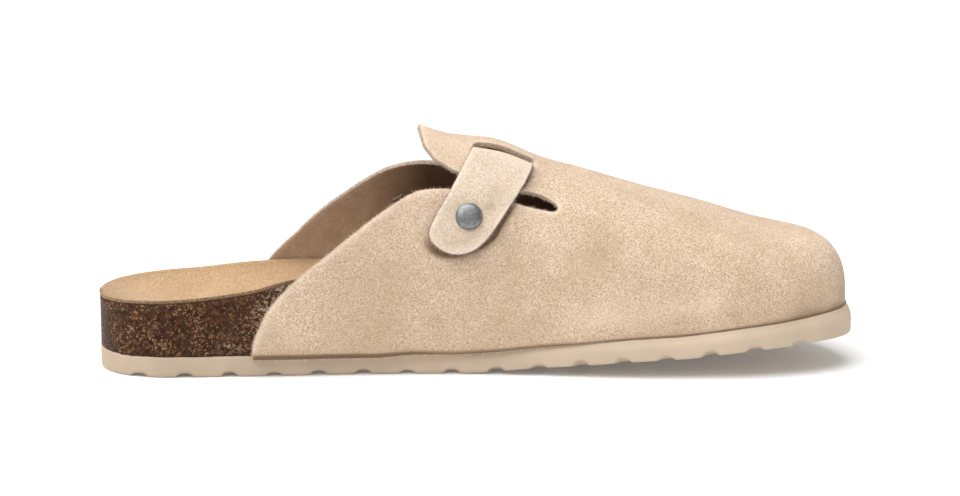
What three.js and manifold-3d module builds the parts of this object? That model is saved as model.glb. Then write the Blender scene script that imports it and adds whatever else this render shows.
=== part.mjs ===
// Leather footbed mule, left shoe: a suede clog upper on a cork footbed and a lugged outsole.
// Millimetres. +X points to the toe, +Y to the outer side of the foot, +Z up.
// Forms are worked out by station, the distance from the heel end, and shifted at the end so that
// the origin lies on the floor under the middle of the shoe.
import * as THREE from "three";
import { mergeVertices } from "three/addons/utils/BufferGeometryUtils.js";
import Module from "manifold-3d";

const wasm = await Module();
wasm.setup();

// Driving sizes
const soleLength = 280;
const heelWidth = 65;
const ballWidth = 99;
const heelRound = 33; // length of the rounded heel end
const toeRound = 52; // length of the rounded toe end
const soleThickness = 7.7;
const toeThickness = 10.4; // outsole at the toe tip
const toeSpring = 12.4; // rise of the tread at the toe tip
const lipWidth = 2.1; // outsole outside the upper along the forefoot, at its widest
const flare = 1.5; // outsole's side leaning out below its top edge, along the forefoot
const wall = 2.2; // leather of the upper
const overlap = 1.2; // upper hanging below the footbed's seat, behind the ball
const seam = 0.3; // clearance between pieces that meet
const instepHeight = 83.6; // top of the instep over the floor, under the strap
const toeBoxHeight = 48.3; // top of the toe box over the floor
const toeDrop = 18.8; // length over which the toe box rounds down
const rimHeight = 20.8; // heel rim of the footbed over the outsole
const linerThickness = 1.3;

const lugPitch = 16.2;
const grooveWidth = 5.2;
const grooveDepth = 2.3;
const grooveWave = 2.6; // swing of each groove to either side
const edgeEase = 1.1; // eased lower edge of the outsole

const strapWidth = 21;
const strapThickness = 2;
const strapLean = THREE.MathUtils.degToRad(33.8); // strap's plane, tilted back from upright
const strapStation = 152; // where the strap's middle crosses the crest
const innerSlit = 6.4; // near lip of the inner strap slit, from the crest along the leather
const outerSlit = 11.5; // near lip of the outer one
const slitWidth = 6.4;
const slitSpare = 0.9; // slit beyond each edge of the strap
const rivetArc = 41.2; // rivet from the crest, along the leather
const strapEnd = 15; // strap beyond its rivet

const rivetHead = 4.9; // radius
const rivetDome = 2.1;
const shankRadius = 1.7;
const washerRadius = 3.3;
const washerThickness = 1.1;

const buckleArc = 37; // upper bar of the buckle from the crest, along the leather
const buckleLength = 17; // between the middles of its two bars
const barRadius = 1.2;
const buckleSpare = 1.5; // between the strap's edge and the side bars
const buckleGap = 2.1; // between the bars and the leather that bends past them
const prongRadius = 0.95;
const prongOverrun = 2; // prong beyond the upper bar's middle
const tabWidth = 16;
const tabThickness = 1.4;
const tabLength = 19; // anchor tab beyond the lower bar
const tabRivetAt = 11; // tab's rivet beyond the lower bar
const tabRivetHead = 3.6; // radius
const tabRivetDome = 0.9;
const tailLength = 23; // strap beyond the lower bar
const holeRadius = 1.5;
const holePitch = 7.5;

const heelPower = 2.5; // squareness of the heel end
const toePower = 2.1;
const dropPower = 2.9;

// Leather, seam and lip together: how far the footbed's edge is drawn in along the forefoot
const tuckDepth = lipWidth + wall + seam;
const outerFace = seam + wall;
const innerFace = seam;
const footbedFace = -0.15;

// Plan: spread from heel width to ball width, lean of the middle line in ball widths,
// and the share of the tuck
const planRows = [
  { at: 0.0, spread: 0.0, lean: 0.0, tuck: 0.0 },
  { at: 0.12, spread: 0.0, lean: 0.0, tuck: 0.0 },
  { at: 0.22, spread: 0.02, lean: 0.004, tuck: 0.0 },
  { at: 0.32, spread: 0.05, lean: 0.016, tuck: 0.0 },
  { at: 0.42, spread: 0.18, lean: 0.032, tuck: 0.0 },
  { at: 0.5, spread: 0.38, lean: 0.042, tuck: 0.15 },
  { at: 0.58, spread: 0.67, lean: 0.046, tuck: 0.5 },
  { at: 0.66, spread: 0.91, lean: 0.036, tuck: 0.85 },
  { at: 0.72, spread: 1.0, lean: 0.024, tuck: 1.0 },
  { at: 0.8, spread: 0.97, lean: 0.004, tuck: 1.0 },
  { at: 0.88, spread: 0.82, lean: -0.036, tuck: 1.0 },
  { at: 0.95, spread: 0.64, lean: -0.105, tuck: 1.0 },
  { at: 1.0, spread: 0.5, lean: -0.18, tuck: 1.0 },
];

// Tread: rise of its edge and of its middle in toe springs, growth towards the toe's thickness,
// and the share of the upper's overlap
const treadRows = [
  { at: 0.0, edge: 0.0, middle: 0.0, growth: 0.0, overlap: 1.0 },
  { at: 0.36, edge: 0.0, middle: 0.0, growth: 0.0, overlap: 1.0 },
  { at: 0.42, edge: 0.0, middle: 0.0, growth: 0.0, overlap: 0.0 },
  { at: 0.46, edge: 0.0, middle: 0.0, growth: 0.0, overlap: 0.0 },
  { at: 0.51, edge: 0.06, middle: 0.0, growth: 0.0, overlap: 0.0 },
  { at: 0.56, edge: 0.19, middle: 0.0, growth: 0.02, overlap: 0.0 },
  { at: 0.62, edge: 0.32, middle: 0.02, growth: 0.06, overlap: 0.0 },
  { at: 0.7, edge: 0.5, middle: 0.24, growth: 0.1, overlap: 0.0 },
  { at: 0.77, edge: 0.61, middle: 0.45, growth: 0.15, overlap: 0.0 },
  { at: 0.83, edge: 0.77, middle: 0.66, growth: 0.24, overlap: 0.0 },
  { at: 0.9, edge: 0.9, middle: 0.85, growth: 0.42, overlap: 0.0 },
  { at: 0.95, edge: 0.97, middle: 0.95, growth: 0.65, overlap: 0.0 },
  { at: 1.0, edge: 1.0, middle: 1.0, growth: 1.0, overlap: 0.0 },
];

// Top of the upper: height from toe box to instep, place of the crest in ball widths,
// and how full the section is upwards and sideways
const crestRows = [
  { at: 0.16, height: 1.3, side: -0.03, full: 2.6, wide: 1.72 },
  { at: 0.36, height: 1.28, side: -0.03, full: 2.6, wide: 1.72 },
  { at: 0.425, height: 1.136, side: -0.03, full: 2.6, wide: 1.72 },
  { at: 0.465, height: 1.037, side: -0.03, full: 2.6, wide: 1.72 },
  { at: 0.5, height: 1.0, side: -0.03, full: 2.6, wide: 1.72 },
  { at: 0.53, height: 0.952, side: -0.03, full: 2.6, wide: 1.72 },
  { at: 0.58, height: 0.796, side: -0.035, full: 2.55, wide: 1.76 },
  { at: 0.64, height: 0.666, side: -0.045, full: 2.5, wide: 1.84 },
  { at: 0.73, height: 0.453, side: -0.06, full: 2.4, wide: 2.0 },
  { at: 0.81, height: 0.278, side: -0.07, full: 2.4, wide: 2.2 },
  { at: 0.9, height: 0.06, side: -0.085, full: 2.45, wide: 2.35 },
  { at: 0.95, height: -0.01, side: -0.12, full: 2.5, wide: 2.45 },
  { at: 1.0, height: -0.05, side: -0.16, full: 2.5, wide: 2.5 },
];

// Footbed's finished surface over the outsole, in rim heights: heel cup, arch, ball pad and toe bar
const bedRows = [
  { at: 0.0, middle: 0.94, inner: 0.98, outer: 0.93 },
  { at: 0.03, middle: 0.76, inner: 0.99, outer: 0.95 },
  { at: 0.07, middle: 0.62, inner: 1.0, outer: 0.98 },
  { at: 0.12, middle: 0.53, inner: 1.03, outer: 1.02 },
  { at: 0.2, middle: 0.55, inner: 1.16, outer: 1.12 },
  { at: 0.26, middle: 0.6, inner: 1.36, outer: 1.15 },
  { at: 0.34, middle: 0.7, inner: 1.52, outer: 1.1 },
  { at: 0.42, middle: 0.73, inner: 1.42, outer: 0.98 },
  { at: 0.52, middle: 0.68, inner: 1.05, outer: 0.82 },
  { at: 0.58, middle: 0.62, inner: 0.88, outer: 0.74 },
  { at: 0.7, middle: 0.47, inner: 0.7, outer: 0.66 },
  { at: 0.79, middle: 0.53, inner: 0.64, outer: 0.62 },
  { at: 0.88, middle: 0.45, inner: 0.62, outer: 0.62 },
  { at: 1.0, middle: 0.62, inner: 0.66, outer: 0.66 },
];

// Cut edges of the upper in side view: share of sole length, share of instep height.
// Each runs up the quarter, along the slot to its front end, and back along the tongue to its tip.
const innerCutRows = [
  { at: 0.2, up: 0.0 },
  { at: 0.2025, up: 0.12 },
  { at: 0.212, up: 0.215 },
  { at: 0.222, up: 0.302 },
  { at: 0.25, up: 0.388 },
  { at: 0.292, up: 0.515 },
  { at: 0.327, up: 0.599 },
  { at: 0.38, up: 0.732 },
  { at: 0.416, up: 0.791 },
  { at: 0.445, up: 0.803 },
  { at: 0.49, up: 0.786 },
  { at: 0.54, up: 0.747 },
  { at: 0.587, up: 0.705 },
  { at: 0.601, up: 0.71 },
  { at: 0.597, up: 0.748 },
  { at: 0.575, up: 0.785 },
  { at: 0.55, up: 0.799 },
  { at: 0.51, up: 0.835 },
  { at: 0.472, up: 0.874 },
  { at: 0.446, up: 0.912 },
  { at: 0.432, up: 0.975 },
  { at: 0.424, up: 1.058 },
];
const outerCutRows = [
  { at: 0.198, up: 0.0 },
  { at: 0.2, up: 0.12 },
  { at: 0.207, up: 0.26 },
  { at: 0.22, up: 0.37 },
  { at: 0.263, up: 0.507 },
  { at: 0.29, up: 0.593 },
  { at: 0.346, up: 0.731 },
  { at: 0.387, up: 0.81 },
  { at: 0.428, up: 0.842 },
  { at: 0.465, up: 0.836 },
  { at: 0.5, up: 0.81 },
  { at: 0.54, up: 0.767 },
  { at: 0.587, up: 0.71 },
  { at: 0.601, up: 0.714 },
  { at: 0.597, up: 0.752 },
  { at: 0.575, up: 0.792 },
  { at: 0.55, up: 0.818 },
  { at: 0.5, up: 0.866 },
  { at: 0.472, up: 0.895 },
  { at: 0.448, up: 0.93 },
  { at: 0.434, up: 0.982 },
  { at: 0.424, up: 1.058 },
];
const tongueTip = innerCutRows[innerCutRows.length - 1];

// Value of one column at a share, on a smooth curve that doesn't overshoot its rows
function smooth(rows, column, share) {
  const slopes = rows.slice(1).map((row, i) => (row[column] - rows[i][column]) / (row.at - rows[i].at));
  const tangent = (i) => {
    if (i === 0) return slopes[0];
    if (i === rows.length - 1) return slopes[i - 1];
    const product = slopes[i - 1] * slopes[i];
    return product <= 0 ? 0 : (2 * product) / (slopes[i - 1] + slopes[i]);
  };
  const at = THREE.MathUtils.clamp(share, rows[0].at, rows[rows.length - 1].at);
  let i = 0;
  while (i < rows.length - 2 && at > rows[i + 1].at) i += 1;
  const span = rows[i + 1].at - rows[i].at;
  const u = (at - rows[i].at) / span;
  const v = 1 - u;
  return (
    rows[i][column] * (1 + 2 * u) * v * v +
    tangent(i) * span * u * v * v +
    rows[i + 1][column] * u * u * (3 - 2 * u) +
    tangent(i + 1) * span * u * u * (u - 1)
  );
}

// Share of full width left on a rounded end, `into` being how far in it is, from 0 to 1
function rounded(into, power) {
  return Math.pow(1 - Math.pow(THREE.MathUtils.clamp(into, 0, 1), power), 1 / power);
}

// Inner and outer edge of a form that stands `reach` outside the sole's outline
function edgesAt(station, reach, toeReach) {
  const share = station / soleLength;
  const half = (heelWidth + (ballWidth - heelWidth) * smooth(planRows, "spread", share)) / 2 + reach;
  const heel = rounded((heelRound - station) / (heelRound + reach), heelPower);
  const toe = rounded((station - soleLength + toeRound) / (toeRound + toeReach), toePower);
  const middle = ballWidth * smooth(planRows, "lean", share);
  return { middle, inner: middle - half * heel * toe, outer: middle + half * heel * toe };
}

// The same for a face of the upper or footbed, drawn in by the tuck along the forefoot
function faceEdges(station, face) {
  const reach = face - tuckDepth * smooth(planRows, "tuck", station / soleLength);
  return edgesAt(station, reach, face - tuckDepth);
}

function treadEdge(station) {
  return toeSpring * smooth(treadRows, "edge", station / soleLength);
}

function treadMiddle(station) {
  return toeSpring * smooth(treadRows, "middle", station / soleLength);
}

// Height of the tread: flat along its middle, rolled up towards its edges in front
function treadAt(station, across) {
  const middle = treadMiddle(station);
  return middle + (treadEdge(station) - middle) * Math.pow(Math.abs(across), 3);
}

function soleTop(station) {
  const growth = smooth(treadRows, "growth", station / soleLength);
  return treadEdge(station) + soleThickness + (toeThickness - soleThickness) * growth;
}

// Cross-section of a face of the upper: crest, feet and fullness
function sectionAt(station, face) {
  const share = station / soleLength;
  const { inner, outer } = faceEdges(station, face);
  const base = soleTop(station) + seam - overlap * smooth(treadRows, "overlap", share);
  const rise = toeBoxHeight + (instepHeight - toeBoxHeight) * smooth(crestRows, "height", share);
  const end = soleLength + face - tuckDepth;
  const drop = rounded((station - end + toeDrop) / toeDrop, dropPower);
  const height = (rise - (outerFace - face) - base) * drop;
  const margin = 0.2 * (outer - inner);
  const side = ballWidth * smooth(crestRows, "side", share);
  return {
    inner,
    outer,
    base,
    height,
    crest: THREE.MathUtils.clamp(side, inner + margin, outer - margin),
    full: smooth(crestRows, "full", share),
    wide: smooth(crestRows, "wide", share),
  };
}

// Point of a face at `turn`, from -1 at the inner foot over 0 at the crest to 1 at the outer foot
function facePoint(station, turn, face) {
  const section = sectionAt(station, face);
  const angle = ((1 - Math.abs(turn)) * Math.PI) / 2;
  const foot = turn < 0 ? section.inner : section.outer;
  const sideways = Math.pow(Math.max(0, Math.cos(angle)), 2 / section.wide);
  const upwards = Math.pow(Math.sin(angle), 2 / section.full);
  return new THREE.Vector3(
    station,
    section.crest + (foot - section.crest) * sideways,
    section.base + section.height * upwards,
  );
}

// Sideways place of a face at a height
function faceAtHeight(station, height, side, face) {
  const section = sectionAt(station, face);
  const foot = side < 0 ? section.inner : section.outer;
  const up = THREE.MathUtils.clamp((height - section.base) / section.height, 0, 1);
  return section.crest + (foot - section.crest) * Math.pow(1 - Math.pow(up, section.full), 1 / section.wide);
}

function faceNormal(station, turn) {
  const step = 0.5;
  const turnStep = 0.01;
  const along = facePoint(station + step, turn, outerFace).sub(facePoint(station - step, turn, outerFace));
  const around = facePoint(station, turn + turnStep, outerFace).sub(
    facePoint(station, turn - turnStep, outerFace),
  );
  return around.cross(along).normalize().negate();
}

// Stations closing up towards each rounded end
function stations(start, middle, end, frontRound) {
  const list = [];
  const last = 0.985;
  const heelCount = 6;
  const toeCount = 11;
  for (let i = heelCount; i > 0 && start < heelRound; i -= 1) {
    list.push(heelRound - (heelRound - start) * Math.sin(((i / heelCount) * last * Math.PI) / 2));
  }
  const from = Math.max(start, heelRound);
  const to = end - frontRound;
  for (let i = 0; i < middle; i += 1) list.push(from + ((to - from) * i) / middle);
  for (let i = 0; i <= toeCount; i += 1) {
    list.push(to + frontRound * Math.sin(((i / toeCount) * last * Math.PI) / 2));
  }
  return list;
}

// Closed geometry from a list of vertices and triangles, turned so that its faces point outwards
function closed(vertices, triangles) {
  let volume = 0;
  for (const [a, b, c] of triangles) {
    volume += vertices[a].dot(vertices[b].clone().cross(vertices[c]));
  }
  const index = triangles.flatMap(([a, b, c]) => (volume < 0 ? [a, c, b] : [a, b, c]));
  const geometry = new THREE.BufferGeometry();
  const positions = vertices.flatMap((vertex) => vertex.toArray());
  geometry.setAttribute("position", new THREE.Float32BufferAttribute(positions, 3));
  geometry.setIndex(index);
  return geometry;
}

// Solid through rings of equal count; open lofts are capped, closed ones join their last ring to the first
function loft(rings, ringed = false) {
  const count = rings[0].length;
  const vertices = rings.flat();
  const triangles = [];
  const bands = ringed ? rings.length : rings.length - 1;
  for (let i = 0; i < bands; i += 1) {
    const here = i * count;
    const next = ((i + 1) % rings.length) * count;
    for (let j = 0; j < count; j += 1) {
      const k = (j + 1) % count;
      triangles.push([here + j, here + k, next + k], [here + j, next + k, next + j]);
    }
  }
  if (!ringed) {
    for (const [ring, first, flip] of [
      [rings[0], 0, true],
      [rings[rings.length - 1], (rings.length - 1) * count, false],
    ]) {
      const centre = vertices.length;
      vertices.push(ring.reduce((sum, point) => sum.add(point), new THREE.Vector3()).divideScalar(count));
      for (let j = 0; j < count; j += 1) {
        const k = (j + 1) % count;
        const near = first + j;
        const far = first + k;
        triangles.push(flip ? [centre, far, near] : [centre, near, far]);
      }
    }
  }
  return closed(vertices, triangles);
}

function toSolid(geometry) {
  const bare = geometry.clone();
  bare.deleteAttribute("normal");
  bare.deleteAttribute("uv");
  const merged = mergeVertices(bare, 1e-4);
  return new wasm.Manifold(
    new wasm.Mesh({
      numProp: 3,
      vertProperties: new Float32Array(merged.attributes.position.array),
      triVerts: new Uint32Array(merged.index.array),
    }),
  );
}

function toGeometry(solid) {
  const mesh = solid.getMesh();
  const geometry = new THREE.BufferGeometry();
  geometry.setAttribute("position", new THREE.BufferAttribute(mesh.vertProperties, 3));
  geometry.setIndex(new THREE.BufferAttribute(mesh.triVerts, 1));
  return geometry;
}

// Counts 0..steps as shares from `from` to `to`
function spread(from, to, steps) {
  return Array.from({ length: steps + 1 }, (_, i) => from + ((to - from) * i) / steps);
}

// Wavy channel across the tread
function groove(station) {
  const reach = 0.6 * ballWidth;
  const arch = spread(0, Math.PI, 3);
  const rings = spread(-reach, reach, 13).map((y) => {
    const x = station + grooveWave * Math.sin((3 * Math.PI * y) / heelWidth);
    const { inner, outer, middle } = edgesAt(x, 0, 0);
    const across = THREE.MathUtils.clamp((2 * (y - middle)) / Math.max(outer - inner, 1), -1, 1);
    const floor = treadAt(x, across);
    const ring = [
      new THREE.Vector3(x + grooveWidth / 2, y, floor - soleThickness),
      new THREE.Vector3(x - grooveWidth / 2, y, floor - soleThickness),
    ];
    for (const angle of arch) {
      const sideways = (-grooveWidth / 2) * Math.cos(angle);
      ring.push(new THREE.Vector3(x + sideways, y, floor + grooveDepth * Math.sin(angle) - 0.05));
    }
    return ring;
  });
  return toSolid(loft(rings));
}

function makeOutsole() {
  const steps = 6;
  const toeStart = soleLength - toeRound;
  const rings = stations(0, 12, soleLength, toeRound).map((station) => {
    const { inner, outer, middle } = edgesAt(station, 0, 0);
    const half = (outer - inner) / 2;
    const ease = Math.min(edgeEase, half / 3);
    const top = soleTop(station);
    const widest = (treadEdge(station) + top) / 2;
    const ring = [new THREE.Vector3(station, inner, treadAt(station, -1) + ease)];
    for (const across of spread(-1, 1, steps)) {
      ring.push(new THREE.Vector3(station, middle + across * (half - ease), treadAt(station, across)));
    }
    ring.push(new THREE.Vector3(station, outer, treadAt(station, 1) + ease));
    ring.push(new THREE.Vector3(station, outer, widest));
    // The top edge is drawn in by the flare, also at the toe's end
    const intoToe = Math.max(0, station - toeStart);
    const drawn = station - (intoToe * flare) / toeRound;
    const lean = flare * smooth(planRows, "tuck", drawn / soleLength);
    const topEdges = edgesAt(drawn, -lean, -flare);
    for (const across of spread(1, 0, 4)) {
      const y = topEdges.inner + (topEdges.outer - topEdges.inner) * across;
      ring.push(new THREE.Vector3(drawn, y, top));
    }
    ring.push(new THREE.Vector3(station, inner, widest));
    return ring;
  });
  let sole = toSolid(loft(rings));
  for (let at = 0.85 * lugPitch; at < soleLength - lugPitch / 2; at += lugPitch) {
    sole = sole.subtract(groove(at));
  }
  return toGeometry(sole);
}

// Height of the footbed's finished surface; `across` runs from -1 to 1
function bedHeight(station, across) {
  const share = station / soleLength;
  const section = sectionAt(station, footbedFace);
  const middle = smooth(bedRows, "middle", share);
  const rim = smooth(bedRows, across < 0 ? "inner" : "outer", share);
  const rise = rimHeight * (middle + (rim - middle) * Math.pow(Math.abs(across), 2.6));
  const ceiling = section.base + 0.86 * section.height;
  return Math.min(soleTop(station) + rise, ceiling);
}

// Ring of a layer of the footbed between two depths below its finished surface
function bedPoints(station, depth, reversed) {
  const steps = 8;
  const limits = [-1, 1].map((side) => {
    const height = bedHeight(station, side) - depth;
    return faceAtHeight(station, height, side, footbedFace);
  });
  const points = spread(-1, 1, steps).map((across) => {
    const y = limits[0] + ((limits[1] - limits[0]) * (across + 1)) / 2;
    return new THREE.Vector3(station, y, bedHeight(station, across) - depth);
  });
  return reversed ? points.reverse() : points;
}

function footbedStations() {
  return stations(-footbedFace, 12, soleLength + footbedFace - tuckDepth, toeRound + footbedFace - tuckDepth);
}

function makeLiner() {
  const rings = footbedStations().map((station) => [
    ...bedPoints(station, 0, false),
    ...bedPoints(station, linerThickness, true),
  ]);
  return loft(rings);
}

function makeCork() {
  const depth = linerThickness + seam;
  const rings = footbedStations().map((station) => {
    const seat = soleTop(station) + seam;
    const top = bedPoints(station, depth, true);
    const sides = [
      [-1, top[top.length - 1]],
      [1, top[0]],
    ].map(([side, rim]) =>
      spread(0, 1, 3)
        .slice(0, 3)
        .map((up) => {
          const height = seat + (rim.z - seat) * up;
          return new THREE.Vector3(station, faceAtHeight(station, height, side, footbedFace), height);
        }),
    );
    const floor = spread(0, 1, 4)
      .slice(1, 4)
      .map((along) => sides[0][0].clone().lerp(sides[1][0], along));
    return [...floor, ...sides[1], ...top, ...sides[0].reverse()];
  });
  return loft(rings);
}

// Strap's middle plane crosses the crest at its own station and leans back
const strapCrest = facePoint(strapStation, 0, outerFace);

// Point over the upper: `across` from the strap's middle line, `turn` around the section, `lift` off the leather
function strapPoint(across, turn, lift) {
  let station = strapStation + across;
  for (let i = 0; i < 14; i += 1) {
    const height = facePoint(station, turn, outerFace).z - strapCrest.z;
    station = strapStation + (across + height * Math.sin(strapLean)) / Math.cos(strapLean);
  }
  return facePoint(station, turn, outerFace).addScaledVector(faceNormal(station, turn), lift);
}

// Table from length along the leather, below zero on the inner side, to turn
const arcTable = (() => {
  const steps = 120;
  const limit = 0.97;
  const half = (side) => {
    const list = [{ arc: 0, turn: 0 }];
    let before = strapPoint(0, 0, 0);
    for (let i = 1; i <= steps; i += 1) {
      const turn = (side * limit * i) / steps;
      const here = strapPoint(0, turn, 0);
      list.push({ arc: list[i - 1].arc + side * here.distanceTo(before), turn });
      before = here;
    }
    return list;
  };
  return [...half(-1).reverse(), ...half(1).slice(1)];
})();

function turnAt(arc) {
  const last = arcTable.length - 1;
  const i = THREE.MathUtils.clamp(
    arcTable.findIndex((row) => row.arc > arc),
    1,
    last,
  );
  const low = arcTable[i - 1];
  const high = arcTable[i];
  return low.turn + ((high.turn - low.turn) * (arc - low.arc)) / (high.arc - low.arc);
}

// Band of leather over the upper from a list of { arc, half, lift } rows
function band(rows, thickness, steps) {
  const rings = rows.map(({ arc, half, lift }) => {
    const turn = turnAt(arc);
    const over = spread(-half, half, steps).map((across) => strapPoint(across, turn, lift + thickness / 2));
    const under = spread(half, -half, steps).map((across) => strapPoint(across, turn, lift - thickness / 2));
    return [...over, ...under];
  });
  return toSolid(loft(rings));
}

// Half width of a band with a round end, `left` being the length left to its tip
function roundEnd(left, half) {
  const into = THREE.MathUtils.clamp(1 - left / half, 0, 0.995);
  return half * rounded(into, 2.2);
}

const onLeather = seam + strapThickness / 2;
const underBridge = -(wall + 2 * seam + strapThickness / 2);
const lowerBarArc = buckleArc + buckleLength;
const barLift = seam + tabThickness + 2 * seam + barRadius;
const upperBarLift = seam + strapThickness + buckleGap + barRadius;
const overTabLoop = barLift + barRadius + seam + tabThickness + buckleGap + strapThickness / 2;
const overTabRivet = seam + tabThickness + seam + tabRivetDome + seam + strapThickness / 2;
const strapStart = -(rivetArc + strapEnd);
const tailEnd = lowerBarArc + tailLength;

// Height of the strap's middle over the leather, by length along it
const liftRows = [
  { at: strapStart, lift: onLeather },
  { at: -(innerSlit + slitWidth), lift: onLeather },
  { at: -innerSlit, lift: underBridge },
  { at: outerSlit, lift: underBridge },
  { at: outerSlit + slitWidth, lift: onLeather },
  { at: buckleArc + 2 * barRadius, lift: onLeather },
  { at: lowerBarArc - barRadius, lift: overTabLoop },
  { at: lowerBarArc + barRadius, lift: overTabLoop },
  { at: lowerBarArc + tabRivetAt - tabRivetHead, lift: overTabRivet },
  { at: tailEnd, lift: overTabRivet },
];

function strapRow(arc) {
  const half = strapWidth / 2;
  const left = Math.min(arc - strapStart, tailEnd - arc);
  return { arc, half: roundEnd(left, half), lift: smooth(liftRows, "lift", arc) };
}

function strapArcs() {
  const half = strapWidth / 2;
  const round = spread(0, 1, 4).map((i) => half * (1 - Math.cos((i * Math.PI) / 2)));
  const arcs = [...round.map((left) => strapStart + left), ...round.map((left) => tailEnd - left)];
  arcs.push(...spread(strapStart + half, -(innerSlit + slitWidth), 6).slice(1));
  arcs.push(...spread(-(innerSlit + slitWidth), -innerSlit, 5).slice(1));
  arcs.push(...spread(-innerSlit, outerSlit, 8).slice(1));
  arcs.push(...spread(outerSlit, outerSlit + slitWidth, 5).slice(1));
  arcs.push(...spread(outerSlit + slitWidth, tailEnd - half, 11).slice(1, -1));
  return arcs.sort((a, b) => a - b);
}

// Place and direction of a fastener that goes through the leather
function fastenerFrame(arc) {
  const turn = turnAt(arc);
  const foot = strapPoint(0, turn, 0);
  const normal = strapPoint(0, turn, 1).sub(foot).normalize();
  const turned = new THREE.Quaternion().setFromUnitVectors(new THREE.Vector3(0, 1, 0), normal);
  return new THREE.Matrix4().compose(foot, turned, new THREE.Vector3(1, 1, 1));
}

// Lathe along +Y, the fastener's own axis
function turned(profile, sides) {
  const points = profile.map(([radius, height]) => new THREE.Vector2(radius, height));
  return new THREE.LatheGeometry(points, sides);
}

function shankHole(arc, top) {
  const radius = shankRadius + seam;
  const profile = [
    [0, -3 * wall],
    [radius, -3 * wall],
    [radius, top],
    [0, top],
  ];
  return toSolid(turned(profile, 16).applyMatrix4(fastenerFrame(arc)));
}

function rivet(arc, stack, head, dome) {
  const washerTop = -(wall + 2 * seam);
  const underside = stack + seam;
  const profile = [
    [0, washerTop - washerThickness],
    [washerRadius * 0.85, washerTop - washerThickness],
    [washerRadius, washerTop],
    [shankRadius, washerTop],
    [shankRadius, underside],
    [head, underside],
    [head, underside + dome * 0.3],
    [head * 0.8, underside + dome * 0.76],
    [0, underside + dome],
  ];
  return turned(profile, 18).applyMatrix4(fastenerFrame(arc));
}

// Prism between two side planes over an outline in side view
function sidePrism(rows, from, to) {
  const curve = new THREE.CatmullRomCurve3(
    rows.map((row) => new THREE.Vector3(row.at * soleLength, row.up * instepHeight, 0)),
    false,
    "centripetal",
  );
  const outline = curve.getPoints(rows.length * 3).map((point) => new THREE.Vector2(point.x, point.y));
  const ceiling = 2 * instepHeight;
  outline.push(new THREE.Vector2(tongueTip.at * soleLength, ceiling));
  outline.push(new THREE.Vector2(-heelRound, ceiling));
  outline.push(new THREE.Vector2(-heelRound, 0));
  const prism = new THREE.ExtrudeGeometry(new THREE.Shape(outline), { depth: to - from, bevelEnabled: false });
  // The outline's height becomes Z and its depth runs towards +Y
  prism.rotateX(Math.PI / 2).translate(0, to, 0);
  return toSolid(prism);
}

// Opening for the strap on one side of the crest
function slit(side) {
  const half = strapWidth / 2 + slitSpare;
  const thickness = 3 * wall;
  const near = side < 0 ? innerSlit : outerSlit;
  const rows = spread(near, near + slitWidth, 3).map((arc) => ({ arc: side * arc, half, lift: -wall / 2 }));
  return band(rows, thickness, 6);
}

function makeUpper() {
  const steps = 22;
  const crowding = 1.1; // sections have more points towards the crest
  const turns = spread(-1, 1, steps).map((turn) => Math.sign(turn) * Math.pow(Math.abs(turn), crowding));
  const start = 0.17 * soleLength;
  const list = (face) => stations(start, 13, soleLength + face - tuckDepth, toeRound + face - tuckDepth);
  const outerRings = list(outerFace).map((station) => turns.map((turn) => facePoint(station, turn, outerFace)));
  const innerRings = list(innerFace).map((station) => {
    const ring = turns.map((turn) => facePoint(station, turn, innerFace));
    const feet = [ring[0], ring[ring.length - 1]].map((foot) => foot.clone().setZ(foot.z - soleThickness));
    return [feet[0], ...ring, feet[1]];
  });
  for (const point of innerRings[0]) point.x -= wall;
  let upper = toSolid(loft(outerRings)).subtract(toSolid(loft(innerRings)));
  const crest = ballWidth * smooth(crestRows, "side", tongueTip.at);
  upper = upper.subtract(sidePrism(innerCutRows, -ballWidth, crest));
  upper = upper.subtract(sidePrism(outerCutRows, crest, ballWidth));
  for (const side of [-1, 1]) upper = upper.subtract(slit(side));
  upper = upper.subtract(shankHole(-rivetArc, strapThickness));
  upper = upper.subtract(shankHole(lowerBarArc + tabRivetAt, tabThickness));
  return toGeometry(upper);
}

// Buckle's own frame: X from the lower to the upper bar, Y along the bars, Z off the leather
const buckle = (() => {
  const upperBar = strapPoint(0, turnAt(buckleArc), upperBarLift);
  const lowerBar = strapPoint(0, turnAt(lowerBarArc), barLift);
  const along = upperBar.clone().sub(lowerBar);
  const length = along.length();
  along.normalize();
  const leather = strapPoint(0, turnAt((buckleArc + lowerBarArc) / 2), 0);
  const middle = upperBar.clone().add(lowerBar).divideScalar(2);
  const across = new THREE.Vector3();
  for (const arc of [buckleArc, lowerBarArc]) {
    across.add(strapPoint(strapWidth / 2, turnAt(arc), 0)).sub(strapPoint(-strapWidth / 2, turnAt(arc), 0));
  }
  across.addScaledVector(along, -across.dot(along)).normalize();
  const off = along.clone().cross(across);
  if (off.dot(middle.clone().sub(leather)) < 0) {
    across.negate();
    off.negate();
  }
  const place = new THREE.Matrix4().makeBasis(along, across, off).setPosition(middle);
  return { place, length };
})();

// Ring of a round bar around a point, in a plane spanned by two directions
function barRing(centre, first, second, radius, sides) {
  return Array.from({ length: sides }, (_, i) => {
    const angle = (2 * Math.PI * i) / sides;
    return centre
      .clone()
      .addScaledVector(first, radius * Math.cos(angle))
      .addScaledVector(second, radius * Math.sin(angle));
  });
}

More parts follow.
